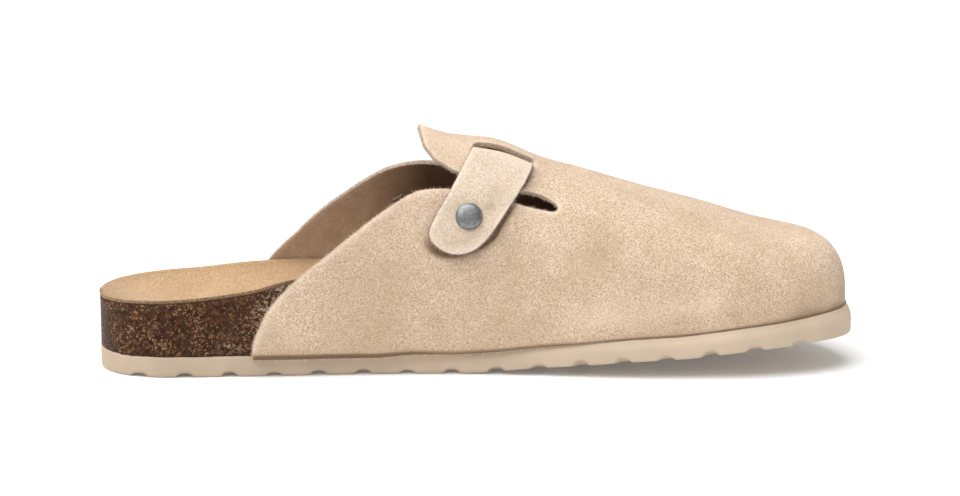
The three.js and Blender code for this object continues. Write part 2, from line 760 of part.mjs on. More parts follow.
function makeBuckleFrame() {
  const halfLength = buckle.length / 2;
  const halfWidth = strapWidth / 2 + buckleSpare + barRadius;
  const corner = 3 * barRadius;
  const up = new THREE.Vector3(0, 0, 1);
  const rings = [];
  for (const [x, y, start] of [
    [halfLength - corner, halfWidth - corner, 0],
    [-halfLength + corner, halfWidth - corner, 1],
    [-halfLength + corner, -halfWidth + corner, 2],
    [halfLength - corner, -halfWidth + corner, 3],
  ]) {
    for (const turn of spread(0, 1, 3)) {
      const angle = ((start + turn) * Math.PI) / 2;
      const out = new THREE.Vector3(Math.cos(angle), Math.sin(angle), 0);
      const centre = new THREE.Vector3(x, y, 0).addScaledVector(out, corner);
      rings.push(barRing(centre, out, up, barRadius, 8));
    }
  }
  return loft(rings, true).applyMatrix4(buckle.place);
}

// Prong's rod, from beside the lower bar to over the upper bar
function prongRod(radius) {
  const half = buckle.length / 2;
  const overBar = barRadius + seam + prongRadius;
  const path = [
    { x: -half + barRadius + seam + prongRadius, z: 0 },
    { x: -half * 0.45, z: overBar * 0.55 },
    { x: 0, z: overBar * 0.85 },
    { x: half * 0.55, z: overBar },
    { x: half + prongOverrun, z: overBar },
  ].map((point) => new THREE.Vector3(point.x, 0, point.z));
  const sideways = new THREE.Vector3(0, 1, 0);
  const rings = path.map((centre, i) => {
    const tangent = path[Math.min(i + 1, path.length - 1)].clone().sub(path[Math.max(i - 1, 0)]).normalize();
    return barRing(centre, sideways, tangent.cross(sideways), radius, 8);
  });
  return toSolid(loft(rings).applyMatrix4(buckle.place));
}

// Hollow sleeve around the lower bar, `inner` and `outer` being radii, between two places along the bar
function sleeve(inner, outer, from, to) {
  const profile = [
    [inner, from],
    [outer, from],
    [outer, to],
    [inner, to],
    [inner, from],
  ];
  const ring = turned(profile, 12);
  ring.translate(-buckle.length / 2, 0, 0);
  return toSolid(ring.applyMatrix4(buckle.place));
}

function drum(radius, from, to) {
  const profile = [
    [0, from],
    [radius, from],
    [radius, to],
    [0, to],
  ];
  return toSolid(turned(profile, 12).translate(-buckle.length / 2, 0, 0).applyMatrix4(buckle.place));
}

const eyeInner = barRadius + seam;
const eyeOuter = eyeInner + 1;

function makeProng() {
  return toGeometry(sleeve(eyeInner, eyeOuter, -prongRadius * 1.2, prongRadius * 1.2).add(prongRod(prongRadius)));
}

function makeTab() {
  const half = tabWidth / 2;
  const end = lowerBarArc + tabLength;
  const arcs = [
    ...spread(lowerBarArc, end - half, 4),
    ...spread(0, 1, 5)
      .slice(1)
      .map((i) => end - half + half * Math.sin((i * Math.PI) / 2)),
  ];
  const rows = arcs.map((arc) => ({ arc, half: roundEnd(end - arc, half), lift: seam + tabThickness / 2 }));
  const gap = prongRadius * 1.2 + seam;
  const loop = sleeve(eyeInner, eyeInner + tabThickness, -half, half);
  const slot = drum(eyeInner + tabThickness + seam, -gap, gap);
  const bore = drum(eyeInner, -half, half);
  const hole = shankHole(lowerBarArc + tabRivetAt, 2 * tabThickness);
  return toGeometry(band(rows, tabThickness, 4).subtract(bore).add(loop).subtract(slot).subtract(hole));
}

function makeStrap() {
  let strap = band(strapArcs().map(strapRow), strapThickness, 4);
  strap = strap.subtract(shankHole(-rivetArc, 2 * strapThickness)).subtract(prongRod(prongRadius + seam));
  for (let at = lowerBarArc + holePitch; at < tailEnd - holePitch; at += holePitch) {
    const lift = overTabRivet + 2 * strapThickness;
    const profile = [
      [0, seam],
      [holeRadius, seam],
      [holeRadius, lift],
      [0, lift],
    ];
    strap = strap.subtract(toSolid(turned(profile, 14).applyMatrix4(fastenerFrame(at))));
  }
  return toGeometry(strap);
}

const suede = new THREE.MeshStandardMaterial({ color: "#cdb294", roughness: 0.95, metalness: 0 });
const strapLeather = new THREE.MeshStandardMaterial({ color: "#d3bb9f", roughness: 0.95, metalness: 0 });
const liningSuede = new THREE.MeshStandardMaterial({ color: "#c9a47a", roughness: 0.95, metalness: 0 });
const cork = new THREE.MeshStandardMaterial({ color: "#50382c", roughness: 0.6, metalness: 0 });
const foamRubber = new THREE.MeshStandardMaterial({ color: "#d2c0a2", roughness: 0.8, metalness: 0 });
const gunmetal = new THREE.MeshStandardMaterial({ color: "#7d868a", roughness: 0.35, metalness: 1 });

const shoe = new THREE.Group();

function place(name, geometry, material) {
  const mesh = new THREE.Mesh(geometry, material);
  mesh.name = name;
  shoe.add(mesh);
}

place("outsole", makeOutsole(), foamRubber);
place("cork_footbed", makeCork(), cork);
place("footbed_liner", makeLiner(), liningSuede);
place("upper", makeUpper(), suede);
place("instep_strap", makeStrap(), strapLeather);
place("strap_rivet", rivet(-rivetArc, seam + strapThickness, rivetHead, rivetDome), gunmetal);
place("buckle_frame", makeBuckleFrame(), gunmetal);
place("buckle_prong", makeProng(), gunmetal);
place("anchor_tab", makeTab(), strapLeather);
const tabRivetArc = lowerBarArc + tabRivetAt;
place("tab_rivet", rivet(tabRivetArc, seam + tabThickness, tabRivetHead, tabRivetDome), gunmetal);

const bounds = new THREE.Box3().setFromObject(shoe, true);
shoe.position.set(-(bounds.min.x + bounds.max.x) / 2, -(bounds.min.y + bounds.max.y) / 2, -bounds.min.z);

export default shoe;
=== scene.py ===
import math

import bpy
import numpy as np
from bpy.props import FloatProperty, FloatVectorProperty, IntProperty, PointerProperty
from bpy.types import Operator, Panel, PropertyGroup
from mathutils import Matrix, Vector, noise
from mathutils.geometry import delaunay_2d_cdt
from mathutils.kdtree import KDTree


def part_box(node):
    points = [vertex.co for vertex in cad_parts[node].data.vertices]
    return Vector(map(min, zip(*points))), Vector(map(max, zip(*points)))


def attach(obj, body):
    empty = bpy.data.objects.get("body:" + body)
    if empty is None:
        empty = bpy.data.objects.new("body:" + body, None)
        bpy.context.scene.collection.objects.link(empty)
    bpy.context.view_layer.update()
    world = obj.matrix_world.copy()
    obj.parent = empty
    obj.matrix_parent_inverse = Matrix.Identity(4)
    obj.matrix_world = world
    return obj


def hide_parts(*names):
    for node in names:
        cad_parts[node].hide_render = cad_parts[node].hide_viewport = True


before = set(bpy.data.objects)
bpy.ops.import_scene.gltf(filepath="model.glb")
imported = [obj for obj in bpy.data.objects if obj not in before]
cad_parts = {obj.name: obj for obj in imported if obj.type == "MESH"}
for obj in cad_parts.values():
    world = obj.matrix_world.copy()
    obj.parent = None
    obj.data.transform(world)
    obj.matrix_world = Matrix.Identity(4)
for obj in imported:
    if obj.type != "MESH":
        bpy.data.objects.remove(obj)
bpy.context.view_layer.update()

bl_info = {
    "name": "Suede footbed mule",
    "version": (1, 0, 0),
    "blender": (4, 5, 0),
    "location": "View3D > Sidebar > Mule",
    "description": "Dresses a left footbed mule: suede upper, cork footbed and lugged outsole",
    "category": "Object",
}

MM = 0.001

# The part's own sizes, in millimetres
SOLE_LENGTH = 280.0
HEEL_WIDTH = 65.0
BALL_WIDTH = 99.0
HEEL_ROUND = 33.0
TOE_ROUND = 52.0
SOLE_THICKNESS = 7.7
TOE_THICKNESS = 10.4
TOE_SPRING = 12.4
LIP_WIDTH = 2.1
FLARE = 1.5
WALL = 2.2
OVERLAP = 1.2
SEAM = 0.3
INSTEP_HEIGHT = 83.6
TOE_BOX_HEIGHT = 48.3
TOE_DROP = 18.8
RIM_HEIGHT = 20.8
LINER_THICKNESS = 1.3

LUG_PITCH = 16.2
GROOVE_WAVE = 2.6
EDGE_EASE = 1.1
LIP_ROUND = 0.7
TREAD_POINTS = 65
LINING_POINTS = 57
LINING_RIM = (0.2, 0.4, 0.6, 0.8)

STRAP_WIDTH = 21.0
STRAP_THICKNESS = 2.0
STRAP_LEAN = math.radians(33.8)
STRAP_STATION = 152.0
INNER_SLIT = 6.4
OUTER_SLIT = 11.5
SLIT_WIDTH = 6.4
SLIT_SPARE = 0.9
RIVET_ARC = 41.2
STRAP_END = 15.0
RIVET_HEAD = 4.9
RIVET_DOME = 2.1
SHANK_RADIUS = 1.7
WASHER_RADIUS = 3.3
WASHER_THICKNESS = 1.1

BUCKLE_ARC = 37.0
BUCKLE_LENGTH = 17.0
BAR_RADIUS = 1.2
BUCKLE_SPARE = 1.5
BUCKLE_GAP = 2.1
PRONG_RADIUS = 0.95
PRONG_OVERRUN = 2.0
TAB_WIDTH = 16.0
TAB_THICKNESS = 1.4
TAB_LENGTH = 19.0
TAB_RIVET_AT = 11.0
TAB_RIVET_HEAD = 3.6
TAB_RIVET_DOME = 0.9
TAIL_LENGTH = 23.0
HOLE_RADIUS = 1.5
HOLE_PITCH = 7.5
PRONG_HOLE_FROM_BAR = 6.5
STRAP_STEP = 1.1
STRAP_EDGE_STEP = 0.6

HEEL_POWER = 2.5
TOE_POWER = 2.1
DROP_POWER = 2.9

TUCK_DEPTH = LIP_WIDTH + WALL + SEAM
OUTER_FACE = SEAM + WALL
FOOTBED_FACE = -0.15
LOWER_BAR_ARC = BUCKLE_ARC + BUCKLE_LENGTH


class Column:
    """One column of a table as a smooth curve that doesn't overshoot its rows."""

    def __init__(self, at, values):
        self.at = np.array(at, float)
        self.values = np.array(values, float)
        slopes = np.diff(self.values) / np.diff(self.at)
        product = slopes[:-1] * slopes[1:]
        total = np.where(product > 0, slopes[:-1] + slopes[1:], 1.0)
        middle = np.where(product > 0, 2 * product / total, 0.0)
        self.tangents = np.concatenate([slopes[:1], middle, slopes[-1:]])

    def __call__(self, share):
        share = np.clip(share, self.at[0], self.at[-1])
        i = np.clip(np.searchsorted(self.at, share, side="left") - 1, 0, len(self.at) - 2)
        span = self.at[i + 1] - self.at[i]
        u = (share - self.at[i]) / span
        v = 1 - u
        return (
            self.values[i] * (1 + 2 * u) * v * v
            + self.tangents[i] * span * u * v * v
            + self.values[i + 1] * u * u * (3 - 2 * u)
            + self.tangents[i + 1] * span * u * u * (u - 1)
        )


def table(names, rows):
    """Columns by name, over the first one."""
    columns = list(zip(*rows))
    return {name: Column(columns[0], column) for name, column in zip(names.split(), columns[1:])}


# Station as a share of the sole's length, then spread, lean and tuck
PLAN = table(
    "spread lean tuck",
    [
        (0.0, 0.0, 0.0, 0.0),
        (0.12, 0.0, 0.0, 0.0),
        (0.22, 0.02, 0.004, 0.0),
        (0.32, 0.05, 0.016, 0.0),
        (0.42, 0.18, 0.032, 0.0),
        (0.5, 0.38, 0.042, 0.15),
        (0.58, 0.67, 0.046, 0.5),
        (0.66, 0.91, 0.036, 0.85),
        (0.72, 1.0, 0.024, 1.0),
        (0.8, 0.97, 0.004, 1.0),
        (0.88, 0.82, -0.036, 1.0),
        (0.95, 0.64, -0.105, 1.0),
        (1.0, 0.5, -0.18, 1.0),
    ],
)
TREAD = table(
    "edge middle growth overlap",
    [
        (0.0, 0.0, 0.0, 0.0, 1.0),
        (0.36, 0.0, 0.0, 0.0, 1.0),
        (0.42, 0.0, 0.0, 0.0, 0.0),
        (0.46, 0.0, 0.0, 0.0, 0.0),
        (0.51, 0.06, 0.0, 0.0, 0.0),
        (0.56, 0.19, 0.0, 0.02, 0.0),
        (0.62, 0.32, 0.02, 0.06, 0.0),
        (0.7, 0.5, 0.24, 0.1, 0.0),
        (0.77, 0.61, 0.45, 0.15, 0.0),
        (0.83, 0.77, 0.66, 0.24, 0.0),
        (0.9, 0.9, 0.85, 0.42, 0.0),
        (0.95, 0.97, 0.95, 0.65, 0.0),
        (1.0, 1.0, 1.0, 1.0, 0.0),
    ],
)
CREST = table(
    "height side full wide",
    [
        (0.16, 1.3, -0.03, 2.6, 1.72),
        (0.36, 1.28, -0.03, 2.6, 1.72),
        (0.425, 1.136, -0.03, 2.6, 1.72),
        (0.465, 1.037, -0.03, 2.6, 1.72),
        (0.5, 1.0, -0.03, 2.6, 1.72),
        (0.53, 0.952, -0.03, 2.6, 1.72),
        (0.58, 0.796, -0.035, 2.55, 1.76),
        (0.64, 0.666, -0.045, 2.5, 1.84),
        (0.73, 0.453, -0.06, 2.4, 2.0),
        (0.81, 0.278, -0.07, 2.4, 2.2),
        (0.9, 0.06, -0.085, 2.45, 2.35),
        (0.95, -0.01, -0.12, 2.5, 2.45),
        (1.0, -0.05, -0.16, 2.5, 2.5),
    ],
)
BED = table(
    "middle inner outer",
    [
        (0.0, 0.94, 0.98, 0.93),
        (0.03, 0.76, 0.99, 0.95),
        (0.07, 0.62, 1.0, 0.98),
        (0.12, 0.53, 1.03, 1.02),
        (0.2, 0.55, 1.16, 1.12),
        (0.26, 0.6, 1.36, 1.15),
        (0.34, 0.7, 1.52, 1.1),
        (0.42, 0.73, 1.42, 0.98),
        (0.52, 0.68, 1.05, 0.82),
        (0.58, 0.62, 0.88, 0.74),
        (0.7, 0.47, 0.7, 0.66),
        (0.79, 0.53, 0.64, 0.62),
        (0.88, 0.45, 0.62, 0.62),
        (1.0, 0.62, 0.66, 0.66),
    ],
)

# Cut edges of the upper in side view, as shares of sole length and instep height: up the quarter,
# along the slot to its front end, and back along the tongue to its tip. The inner edge's points were
# picked on the photo by eye, or for the heel's edge follow a script's readings of it row by row,
# and most were turned into shares by a script with the fitted camera
INNER_CUT = [
    (0.204, 0.0),
    (0.2052, 0.115),
    (0.2084, 0.1706),
    (0.2143, 0.2145),
    (0.2202, 0.2582),
    (0.2283, 0.3016),
    (0.2389, 0.3446),
    (0.2516, 0.3873),
    (0.2738, 0.4543),
    (0.3063, 0.537),
    (0.3323, 0.606),
    (0.374, 0.709),
    (0.4036, 0.7695),
    (0.4212, 0.796),
    (0.4328, 0.802),
    (0.4473, 0.804),
    (0.4619, 0.8025),
    (0.49, 0.784),
    (0.5459, 0.7444),
    (0.5625, 0.7272),
    (0.5769, 0.7161),
    (0.5884, 0.7084),
    (0.598, 0.705),
    (0.6035, 0.711),
    (0.6045, 0.7241),
    (0.6015, 0.74),
    (0.595, 0.755),
    (0.587, 0.769),
    (0.577, 0.781),
    (0.567, 0.789),
    (0.556, 0.7935),
    (0.534, 0.813),
    (0.508, 0.842),
    (0.4758, 0.8727),
    (0.4658, 0.8886),
    (0.4573, 0.9068),
    (0.4473, 0.9255),
    (0.4403, 0.9525),
    (0.4334, 0.9836),
    (0.4307, 1.0134),
    (0.4288, 1.0417),
    (0.428, 1.058),
]
OUTER_CUT = [
    (0.201, 0.0),
    (0.2025, 0.12),
    (0.2085, 0.25),
    (0.222, 0.365),
    (0.263, 0.505),
    (0.29, 0.592),
    (0.346, 0.731),
    (0.387, 0.81),
    (0.428, 0.844),
    (0.465, 0.837),
    (0.5, 0.81),
    (0.54, 0.767),
    (0.587, 0.71),
    (0.602, 0.714),
    (0.598, 0.755),
    (0.575, 0.796),
    (0.55, 0.82),
    (0.5, 0.866),
    (0.474, 0.895),
    (0.452, 0.93),
    (0.4375, 0.982),
    (0.428, 1.058),
]

# Inner end of the strap: across and along from the crest, in millimetres. The points were picked on
# the photo by eye, and about half were turned into millimetres by a script with the fitted camera
STRAP_TIP = [
    (-10.4, -14.5),
    (-10.45, -19.4),
    (-10.35, -25.0),
    (-10.2, -31.2),
    (-10.25, -37.0),
    (-10.2, -42.1),
    (-9.85, -46.7),
    (-8.95, -50.0),
    (-7.2, -52.4),
    (-4.64, -54.2),
    (-2.1, -55.5),
    (0.6, -56.2),
    (3.2, -56.5),
    (5.4, -56.1),
    (7.1, -55.1),
    (8.2, -53.7),
    (8.95, -51.8),
    (9.45, -49.6),
    (9.75, -47.2),
    (9.9, -44.6),
    (10.0, -42.2),
    (10.15, -38.6),
    (10.3, -35.4),
    (10.5, -31.9),
    (10.65, -28.3),
    (10.8, -25.3),
    (10.95, -21.8),
    (11.0, -18.1),
    (10.9, -13.0),
    (10.6, -7.0),
]

# Soft creases of worn leather, with painted shade and painted light on the nap: share of length and turn
# along each, its width and its height in millimetres, and how much painted shade lies there, partly the nap
# lying darker in the troughs, with painted light where below zero. Rows of no height only paint: painted
# light on the tongue, painted shade at the toe. Some points of the inner side were turned from places on the
# photo into shares by a script with the fitted camera
CREASES = [
    ([(0.533, -0.703), (0.548, -0.733), (0.571, -0.782), (0.599, -0.856)], 6.0, -0.55, 0.6),
    ([(0.655, -0.687), (0.676, -0.712), (0.695, -0.758)], 6.5, -0.4, 0.45),
    ([(0.7, -0.2), (0.734, -0.262), (0.766, -0.32), (0.796, -0.38)], 5.0, -0.2, 0.55),
    ([(0.399, -0.807), (0.367, -0.84), (0.325, -0.872)], 8.0, -0.4, 0.45),
    ([(0.578, -0.625), (0.597, -0.714)], 6.0, 0.35, -0.5),
    ([(0.632, -0.948), (0.717, -0.92), (0.804, -0.89)], 7.0, 0.3, -1.2),
    ([(0.4, -0.12), (0.46, -0.2), (0.5, -0.3)], 11.0, 0.0, -1.0),
    ([(0.839, -0.614), (0.856, -0.802)], 7.0, -0.25, 0.2),
    ([(0.439, -0.945), (0.448, -0.966)], 2.5, -0.15, 0.5),
    ([(0.915, -0.96), (0.975, -0.96), (0.99, -0.5)], 7.0, 0.0, 0.7),
    ([(0.247, -0.93), (0.266, -0.975)], 6.0, 0.15, -0.5),
    ([(0.56, 0.74), (0.585, 0.8), (0.61, 0.87)], 6.5, -0.5, 0.5),
    ([(0.66, 0.6), (0.7, 0.72)], 7.0, -0.4, 0.4),
    ([(0.7, 0.2), (0.75, 0.3), (0.79, 0.38)], 6.0, -0.2, 0.4),
    ([(0.4, 0.82), (0.34, 0.87)], 8.0, -0.35, 0.35),
    ([(0.64, 0.94), (0.72, 0.93), (0.82, 0.9)], 5.0, 0.3, -0.5),
    ([(0.85, 0.62), (0.865, 0.8)], 7.0, -0.25, 0.2),
]

# Darker and lighter places of the strap: worn marks along its length, painted light where it comes out from
# under the bridge, and painted shade near its round end. Each is a line of points across and along, its
# width, both in millimetres, and how much darker it is painted there, lighter where below zero
STRAP_SMUDGES = [
    ([(3.5, -29.0), (4.5, -36.0)], 2.6, 0.55),
    ([(-6.5, -33.0), (-7.0, -39.0)], 2.2, 0.25),
    ([(-5.0, -12.0), (6.0, -14.0)], 4.0, -0.5),
    ([(-1.0, -53.0), (4.0, -51.0)], 2.0, 0.4),
]


def rounded(into, power):
    """Share of full width left on a rounded end, `into` going from 0 to 1."""
    return (1 - np.clip(into, 0, 1) ** power) ** (1 / power)


def edges_at(station, reach, toe_reach):
    """Inner edge, outer edge and middle line of a form `reach` outside the sole's outline."""
    share = station / SOLE_LENGTH
    half = (HEEL_WIDTH + (BALL_WIDTH - HEEL_WIDTH) * PLAN["spread"](share)) / 2 + reach
    heel = rounded((HEEL_ROUND - station) / (HEEL_ROUND + reach), HEEL_POWER)
    toe = rounded((station - SOLE_LENGTH + TOE_ROUND) / (TOE_ROUND + toe_reach), TOE_POWER)
    middle = BALL_WIDTH * PLAN["lean"](share)
    return middle - half * heel * toe, middle + half * heel * toe, middle


def face_edges(station, face):
    """Inner and outer foot of a face of the upper, tucked in behind the lip."""
    reach = face - TUCK_DEPTH * PLAN["tuck"](station / SOLE_LENGTH)
    inner, outer, _ = edges_at(station, reach, face - TUCK_DEPTH)
    return inner, outer


def tread_edge(station):
    """Height of the tread along its edge."""
    return TOE_SPRING * TREAD["edge"](station / SOLE_LENGTH)


def tread_at(station, across):
    """Height of the tread, `across` from -1 to 1."""
    middle = TOE_SPRING * TREAD["middle"](station / SOLE_LENGTH)
    return middle + (tread_edge(station) - middle) * np.abs(across) ** 3


def sole_top(station):
    """Height of the outsole's upper face."""
    growth = TREAD["growth"](station / SOLE_LENGTH)
    return tread_edge(station) + SOLE_THICKNESS + (TOE_THICKNESS - SOLE_THICKNESS) * growth


def section_at(station, face):
    """Cross-section of a face of the upper: its feet, base, height, crest and fullness."""
    share = station / SOLE_LENGTH
    inner, outer = face_edges(station, face)
    base = sole_top(station) + SEAM - OVERLAP * TREAD["overlap"](share)
    rise = TOE_BOX_HEIGHT + (INSTEP_HEIGHT - TOE_BOX_HEIGHT) * CREST["height"](share)
    end = SOLE_LENGTH + face - TUCK_DEPTH
    drop = rounded((station - end + TOE_DROP) / TOE_DROP, DROP_POWER)
    height = (rise - (OUTER_FACE - face) - base) * drop
    margin = 0.2 * (outer - inner)
    crest = np.clip(BALL_WIDTH * CREST["side"](share), inner + margin, outer - margin)
    return inner, outer, base, height, crest, CREST["full"](share), CREST["wide"](share)


def face_point(station, turn, face=OUTER_FACE):
    """Points of a face, `turn` from -1 at the inner foot over 0 at the crest to 1 at the outer foot."""
    station, turn = np.broadcast_arrays(np.asarray(station, float), np.asarray(turn, float))
    inner, outer, base, height, crest, full, wide = section_at(station, face)
    angle = (1 - np.abs(turn)) * math.pi / 2
    foot = np.where(turn < 0, inner, outer)
    sideways = np.maximum(0, np.cos(angle)) ** (2 / wide)
    upwards = np.maximum(0, np.sin(angle)) ** (2 / full)
    return np.stack([station, crest + (foot - crest) * sideways, base + height * upwards], -1)


def turn_at_height(station, height, side):
    """Turn of the upper's outer face at a height, on one side."""
    _, _, base, full_height, _, full, _ = section_at(station, OUTER_FACE)
    up = np.clip((height - base) / full_height, 0, 1)
    return side * (1 - np.arcsin(up ** (full / 2)) * 2 / math.pi)


def face_at_height(station, height, side, face):
    """Sideways place of a face at a height, on one side."""
    inner, outer, base, full_height, crest, full, wide = section_at(station, face)
    foot = inner if side < 0 else outer
    up = np.clip((height - base) / full_height, 0, 1)
    return crest + (foot - crest) * (1 - up**full) ** (1 / wide)


def unit(vectors):
    """The same directions with length 1."""
    return vectors / np.maximum(np.linalg.norm(vectors, axis=-1, keepdims=True), 1e-9)


def face_normal(station, turn):
    """Outward direction of the upper's outer face."""
    along = face_point(station + 0.5, turn) - face_point(station - 0.5, turn)
    around = face_point(station, turn + 0.01) - face_point(station, turn - 0.01)
    return unit(np.cross(along, around))


STRAP_CREST = face_point(STRAP_STATION, 0.0)


def strap_point(across, turn, lift):
    """Points over the upper, `across` from the strap's middle line and `lift` off the leather."""
    across, turn = np.broadcast_arrays(np.asarray(across, float), np.asarray(turn, float))
    station = STRAP_STATION + across
    for _ in range(14):
        height = face_point(station, turn)[..., 2] - STRAP_CREST[2]
        station = STRAP_STATION + (across + height * math.sin(STRAP_LEAN)) / math.cos(STRAP_LEAN)
    normal = face_normal(station, turn)
    return face_point(station, turn) + normal * np.asarray(lift, float)[..., None]


def strap_arc_table():
    """Lengths along the leather, below zero on the inner side, against turns."""
    turns = np.linspace(-0.97, 0.97, 241)
    points = strap_point(0.0, turns, 0.0)
    lengths = np.concatenate([[0], np.cumsum(np.linalg.norm(np.diff(points, axis=0), axis=1))])
    return lengths - np.interp(0, turns, lengths), turns


ARC_LENGTHS, ARC_TURNS = strap_arc_table()


def turn_at(arc):
    """Turn at a length along the strap's middle line."""
    return np.interp(arc, ARC_LENGTHS, ARC_TURNS)


ON_LEATHER = SEAM + STRAP_THICKNESS / 2
UNDER_BRIDGE = -(WALL + 2 * SEAM + STRAP_THICKNESS / 2)
BAR_LIFT = SEAM + TAB_THICKNESS + 2 * SEAM + BAR_RADIUS
UPPER_BAR_LIFT = SEAM + STRAP_THICKNESS + BUCKLE_GAP + BAR_RADIUS
OVER_TAB_LOOP = BAR_LIFT + BAR_RADIUS + SEAM + TAB_THICKNESS + BUCKLE_GAP + STRAP_THICKNESS / 2
OVER_TAB_RIVET = SEAM + TAB_THICKNESS + SEAM + TAB_RIVET_DOME + SEAM + STRAP_THICKNESS / 2
STRAP_START = -(RIVET_ARC + STRAP_END)
TAIL_END = LOWER_BAR_ARC + TAIL_LENGTH
STRAP_LIFT = table(
    "lift",
    [
        (STRAP_START, ON_LEATHER),
        (-(INNER_SLIT + SLIT_WIDTH), ON_LEATHER),
        (-INNER_SLIT, UNDER_BRIDGE),
        (OUTER_SLIT, UNDER_BRIDGE),
        (OUTER_SLIT + SLIT_WIDTH, ON_LEATHER),
        (BUCKLE_ARC + 2 * BAR_RADIUS, ON_LEATHER),
        (LOWER_BAR_ARC - BAR_RADIUS, OVER_TAB_LOOP),
        (LOWER_BAR_ARC + BAR_RADIUS, OVER_TAB_LOOP),
        (LOWER_BAR_ARC + TAB_RIVET_AT - TAB_RIVET_HEAD, OVER_TAB_RIVET),
        (TAIL_END, OVER_TAB_RIVET),
    ],
)["lift"]


def bed_height(station, across):
    """Footbed's finished surface, `across` from -1 to 1."""
    share = station / SOLE_LENGTH
    _, _, base, height, _, _, _ = section_at(station, FOOTBED_FACE)
    middle = BED["middle"](share)
    rim = np.where(across < 0, BED["inner"](share), BED["outer"](share))
    rise = RIM_HEIGHT * (middle + (rim - middle) * np.abs(across) ** 2.6)
    return np.minimum(sole_top(station) + rise, base + 0.86 * height)


def fastener_frame(arc):
    """Place of a fastener on the leather and its direction outwards."""
    foot = strap_point(0.0, turn_at(arc), 0.0)
    normal = unit(strap_point(0.0, turn_at(arc), 1.0) - foot)
    turned = Vector((0, 0, 1)).rotation_difference(Vector(normal))
    return Matrix.Translation(Vector(foot)) @ turned.to_matrix().to_4x4()


def stations_between(start, end, front_round, middle, heel_count, toe_count):
    """Stations that close up towards each rounded end."""
    last = 0.99
    tips = np.array([0.994, 0.997, 0.999])
    heel = []
    if start < HEEL_ROUND:
        turns = np.concatenate([tips[::-1], np.linspace(1, 0, heel_count, endpoint=False) * last])
        into = np.sin(turns * math.pi / 2)
        heel = HEEL_ROUND - (HEEL_ROUND - start) * into
    straight = np.linspace(max(start, HEEL_ROUND), end - front_round, middle, endpoint=False)
    turns = np.concatenate([np.linspace(0, 1, toe_count) * last, tips])
    toe = end - front_round + front_round * np.sin(turns * math.pi / 2)
    return np.concatenate([heel, straight, toe])


def part_offset():
    """Shift from the shape's own stations to the part's place in the frame, in millimetres."""
    low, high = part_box("outsole")
    stations = np.linspace(0, SOLE_LENGTH, 2801)
    inner, outer, _ = edges_at(stations, 0.0, 0.0)
    side = (low[1] + high[1]) / 2 / MM - (inner.min() + outer.max()) / 2
    return np.array([low[0] / MM, side, low[2] / MM])


OFFSET = part_offset()


def to_frame(points):
    """Points in metres, at the part's place in the frame."""
    return (np.asarray(points, float) + OFFSET) * MM


def new_object(name, points, faces, material, attributes=None):
    """Mesh object from points in millimetres, with smooth faces and number attributes."""
    mesh = bpy.data.meshes.new(name)
    mesh.from_pydata(to_frame(points).tolist(), [], [tuple(int(i) for i in face) for face in faces])
    for title, values in (attributes or {}).items():
        layer = mesh.attributes.new(title, "FLOAT", "POINT")
        layer.data.foreach_set("value", np.asarray(values, np.float32))
    mesh.materials.append(material)
    mesh.polygons.foreach_set("use_smooth", [True] * len(mesh.polygons))
    mesh.validate()
    piece = bpy.data.objects.new(name, mesh)
    bpy.context.collection.objects.link(piece)
    return piece


def loft(rings):
    """Points and faces of a closed loft through rings of equal count."""
    rings = np.asarray(rings)
    count = rings.shape[1]
    points = rings.reshape(-1, 3)
    index = np.arange(len(points)).reshape(len(rings), count)
    faces = ring_quads(index[:-1], index[1:])
    faces.append(tuple(index[0][::-1]))
    faces.append(tuple(index[-1]))
    return points, outwards(points, faces)


def ring_quads(index, ahead):
    """Faces between rings of point numbers and the rings that follow them."""
    quads = np.stack([index, np.roll(index, -1, 1), np.roll(ahead, -1, 1), ahead], -1)
    return [tuple(quad) for quad in quads.reshape(-1, 4)]


def closed_tube(rings):
    """Points and faces of rings that are joined end to end."""
    points = np.asarray(rings).reshape(-1, 3)
    index = np.arange(len(points)).reshape(len(rings), -1)
    return points, outwards(points, ring_quads(index, np.roll(index, -1, 0)))


def outwards(points, faces):
    """The same faces, turned so that the form's volume is above zero."""
    volume = 0.0
    for face in faces:
        first = points[face[0]]
        for b, c in zip(face[1:], face[2:]):
            volume += np.dot(first, np.cross(points[b], points[c]))
    return faces if volume > 0 else [tuple(reversed(face)) for face in faces]


def soft_noise(points, size, seed):
    """Smooth noise from about -1 to 1 at points in millimetres, with features of the given size."""
    offset = Vector((seed * 17.3, seed * 5.9, seed * 11.1))
    return np.array([noise.noise(Vector(point) / size + offset) for point in points])


def hidden_by(piece, *nodes):
    """Puts a dressed piece in place of its solids, on the one body."""
    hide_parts(*nodes)
    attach(piece, "root")


# Leather cut from a flat pattern and laid on a surface
FRAY_REACH = 1.1
EDGE_DEPTHS = (0.06, 0.2, 0.4, 0.6, 0.8, 0.94)


def resampled(loop, step):
    """Closed outline with points an even step apart."""
    closed = np.vstack([loop, loop[:1]])
    lengths = np.concatenate([[0], np.cumsum(np.linalg.norm(np.diff(closed, axis=0), axis=1))])
    count = max(8, int(round(lengths[-1] / step)))
    at = np.linspace(0, lengths[-1], count, endpoint=False)
    return np.stack([np.interp(at, lengths, closed[:, k]) for k in range(2)], -1)


def signed_area(loop):
    """Area of an outline, above zero where it runs anticlockwise."""
    x, y = loop[:, 0], loop[:, 1]
    return 0.5 * np.sum(x * np.roll(y, -1) - np.roll(x, -1) * y)


def within(points, loop):
    """Which points lie inside a closed outline."""
    inside = np.zeros(len(points), bool)
    for (x0, y0), (x1, y1) in zip(loop, np.roll(loop, -1, axis=0)):
        if y0 == y1:
            continue
        crosses = (y0 > points[:, 1]) != (y1 > points[:, 1])
        inside ^= crosses & (points[:, 0] < x0 + (points[:, 1] - y0) * (x1 - x0) / (y1 - y0))
    return inside


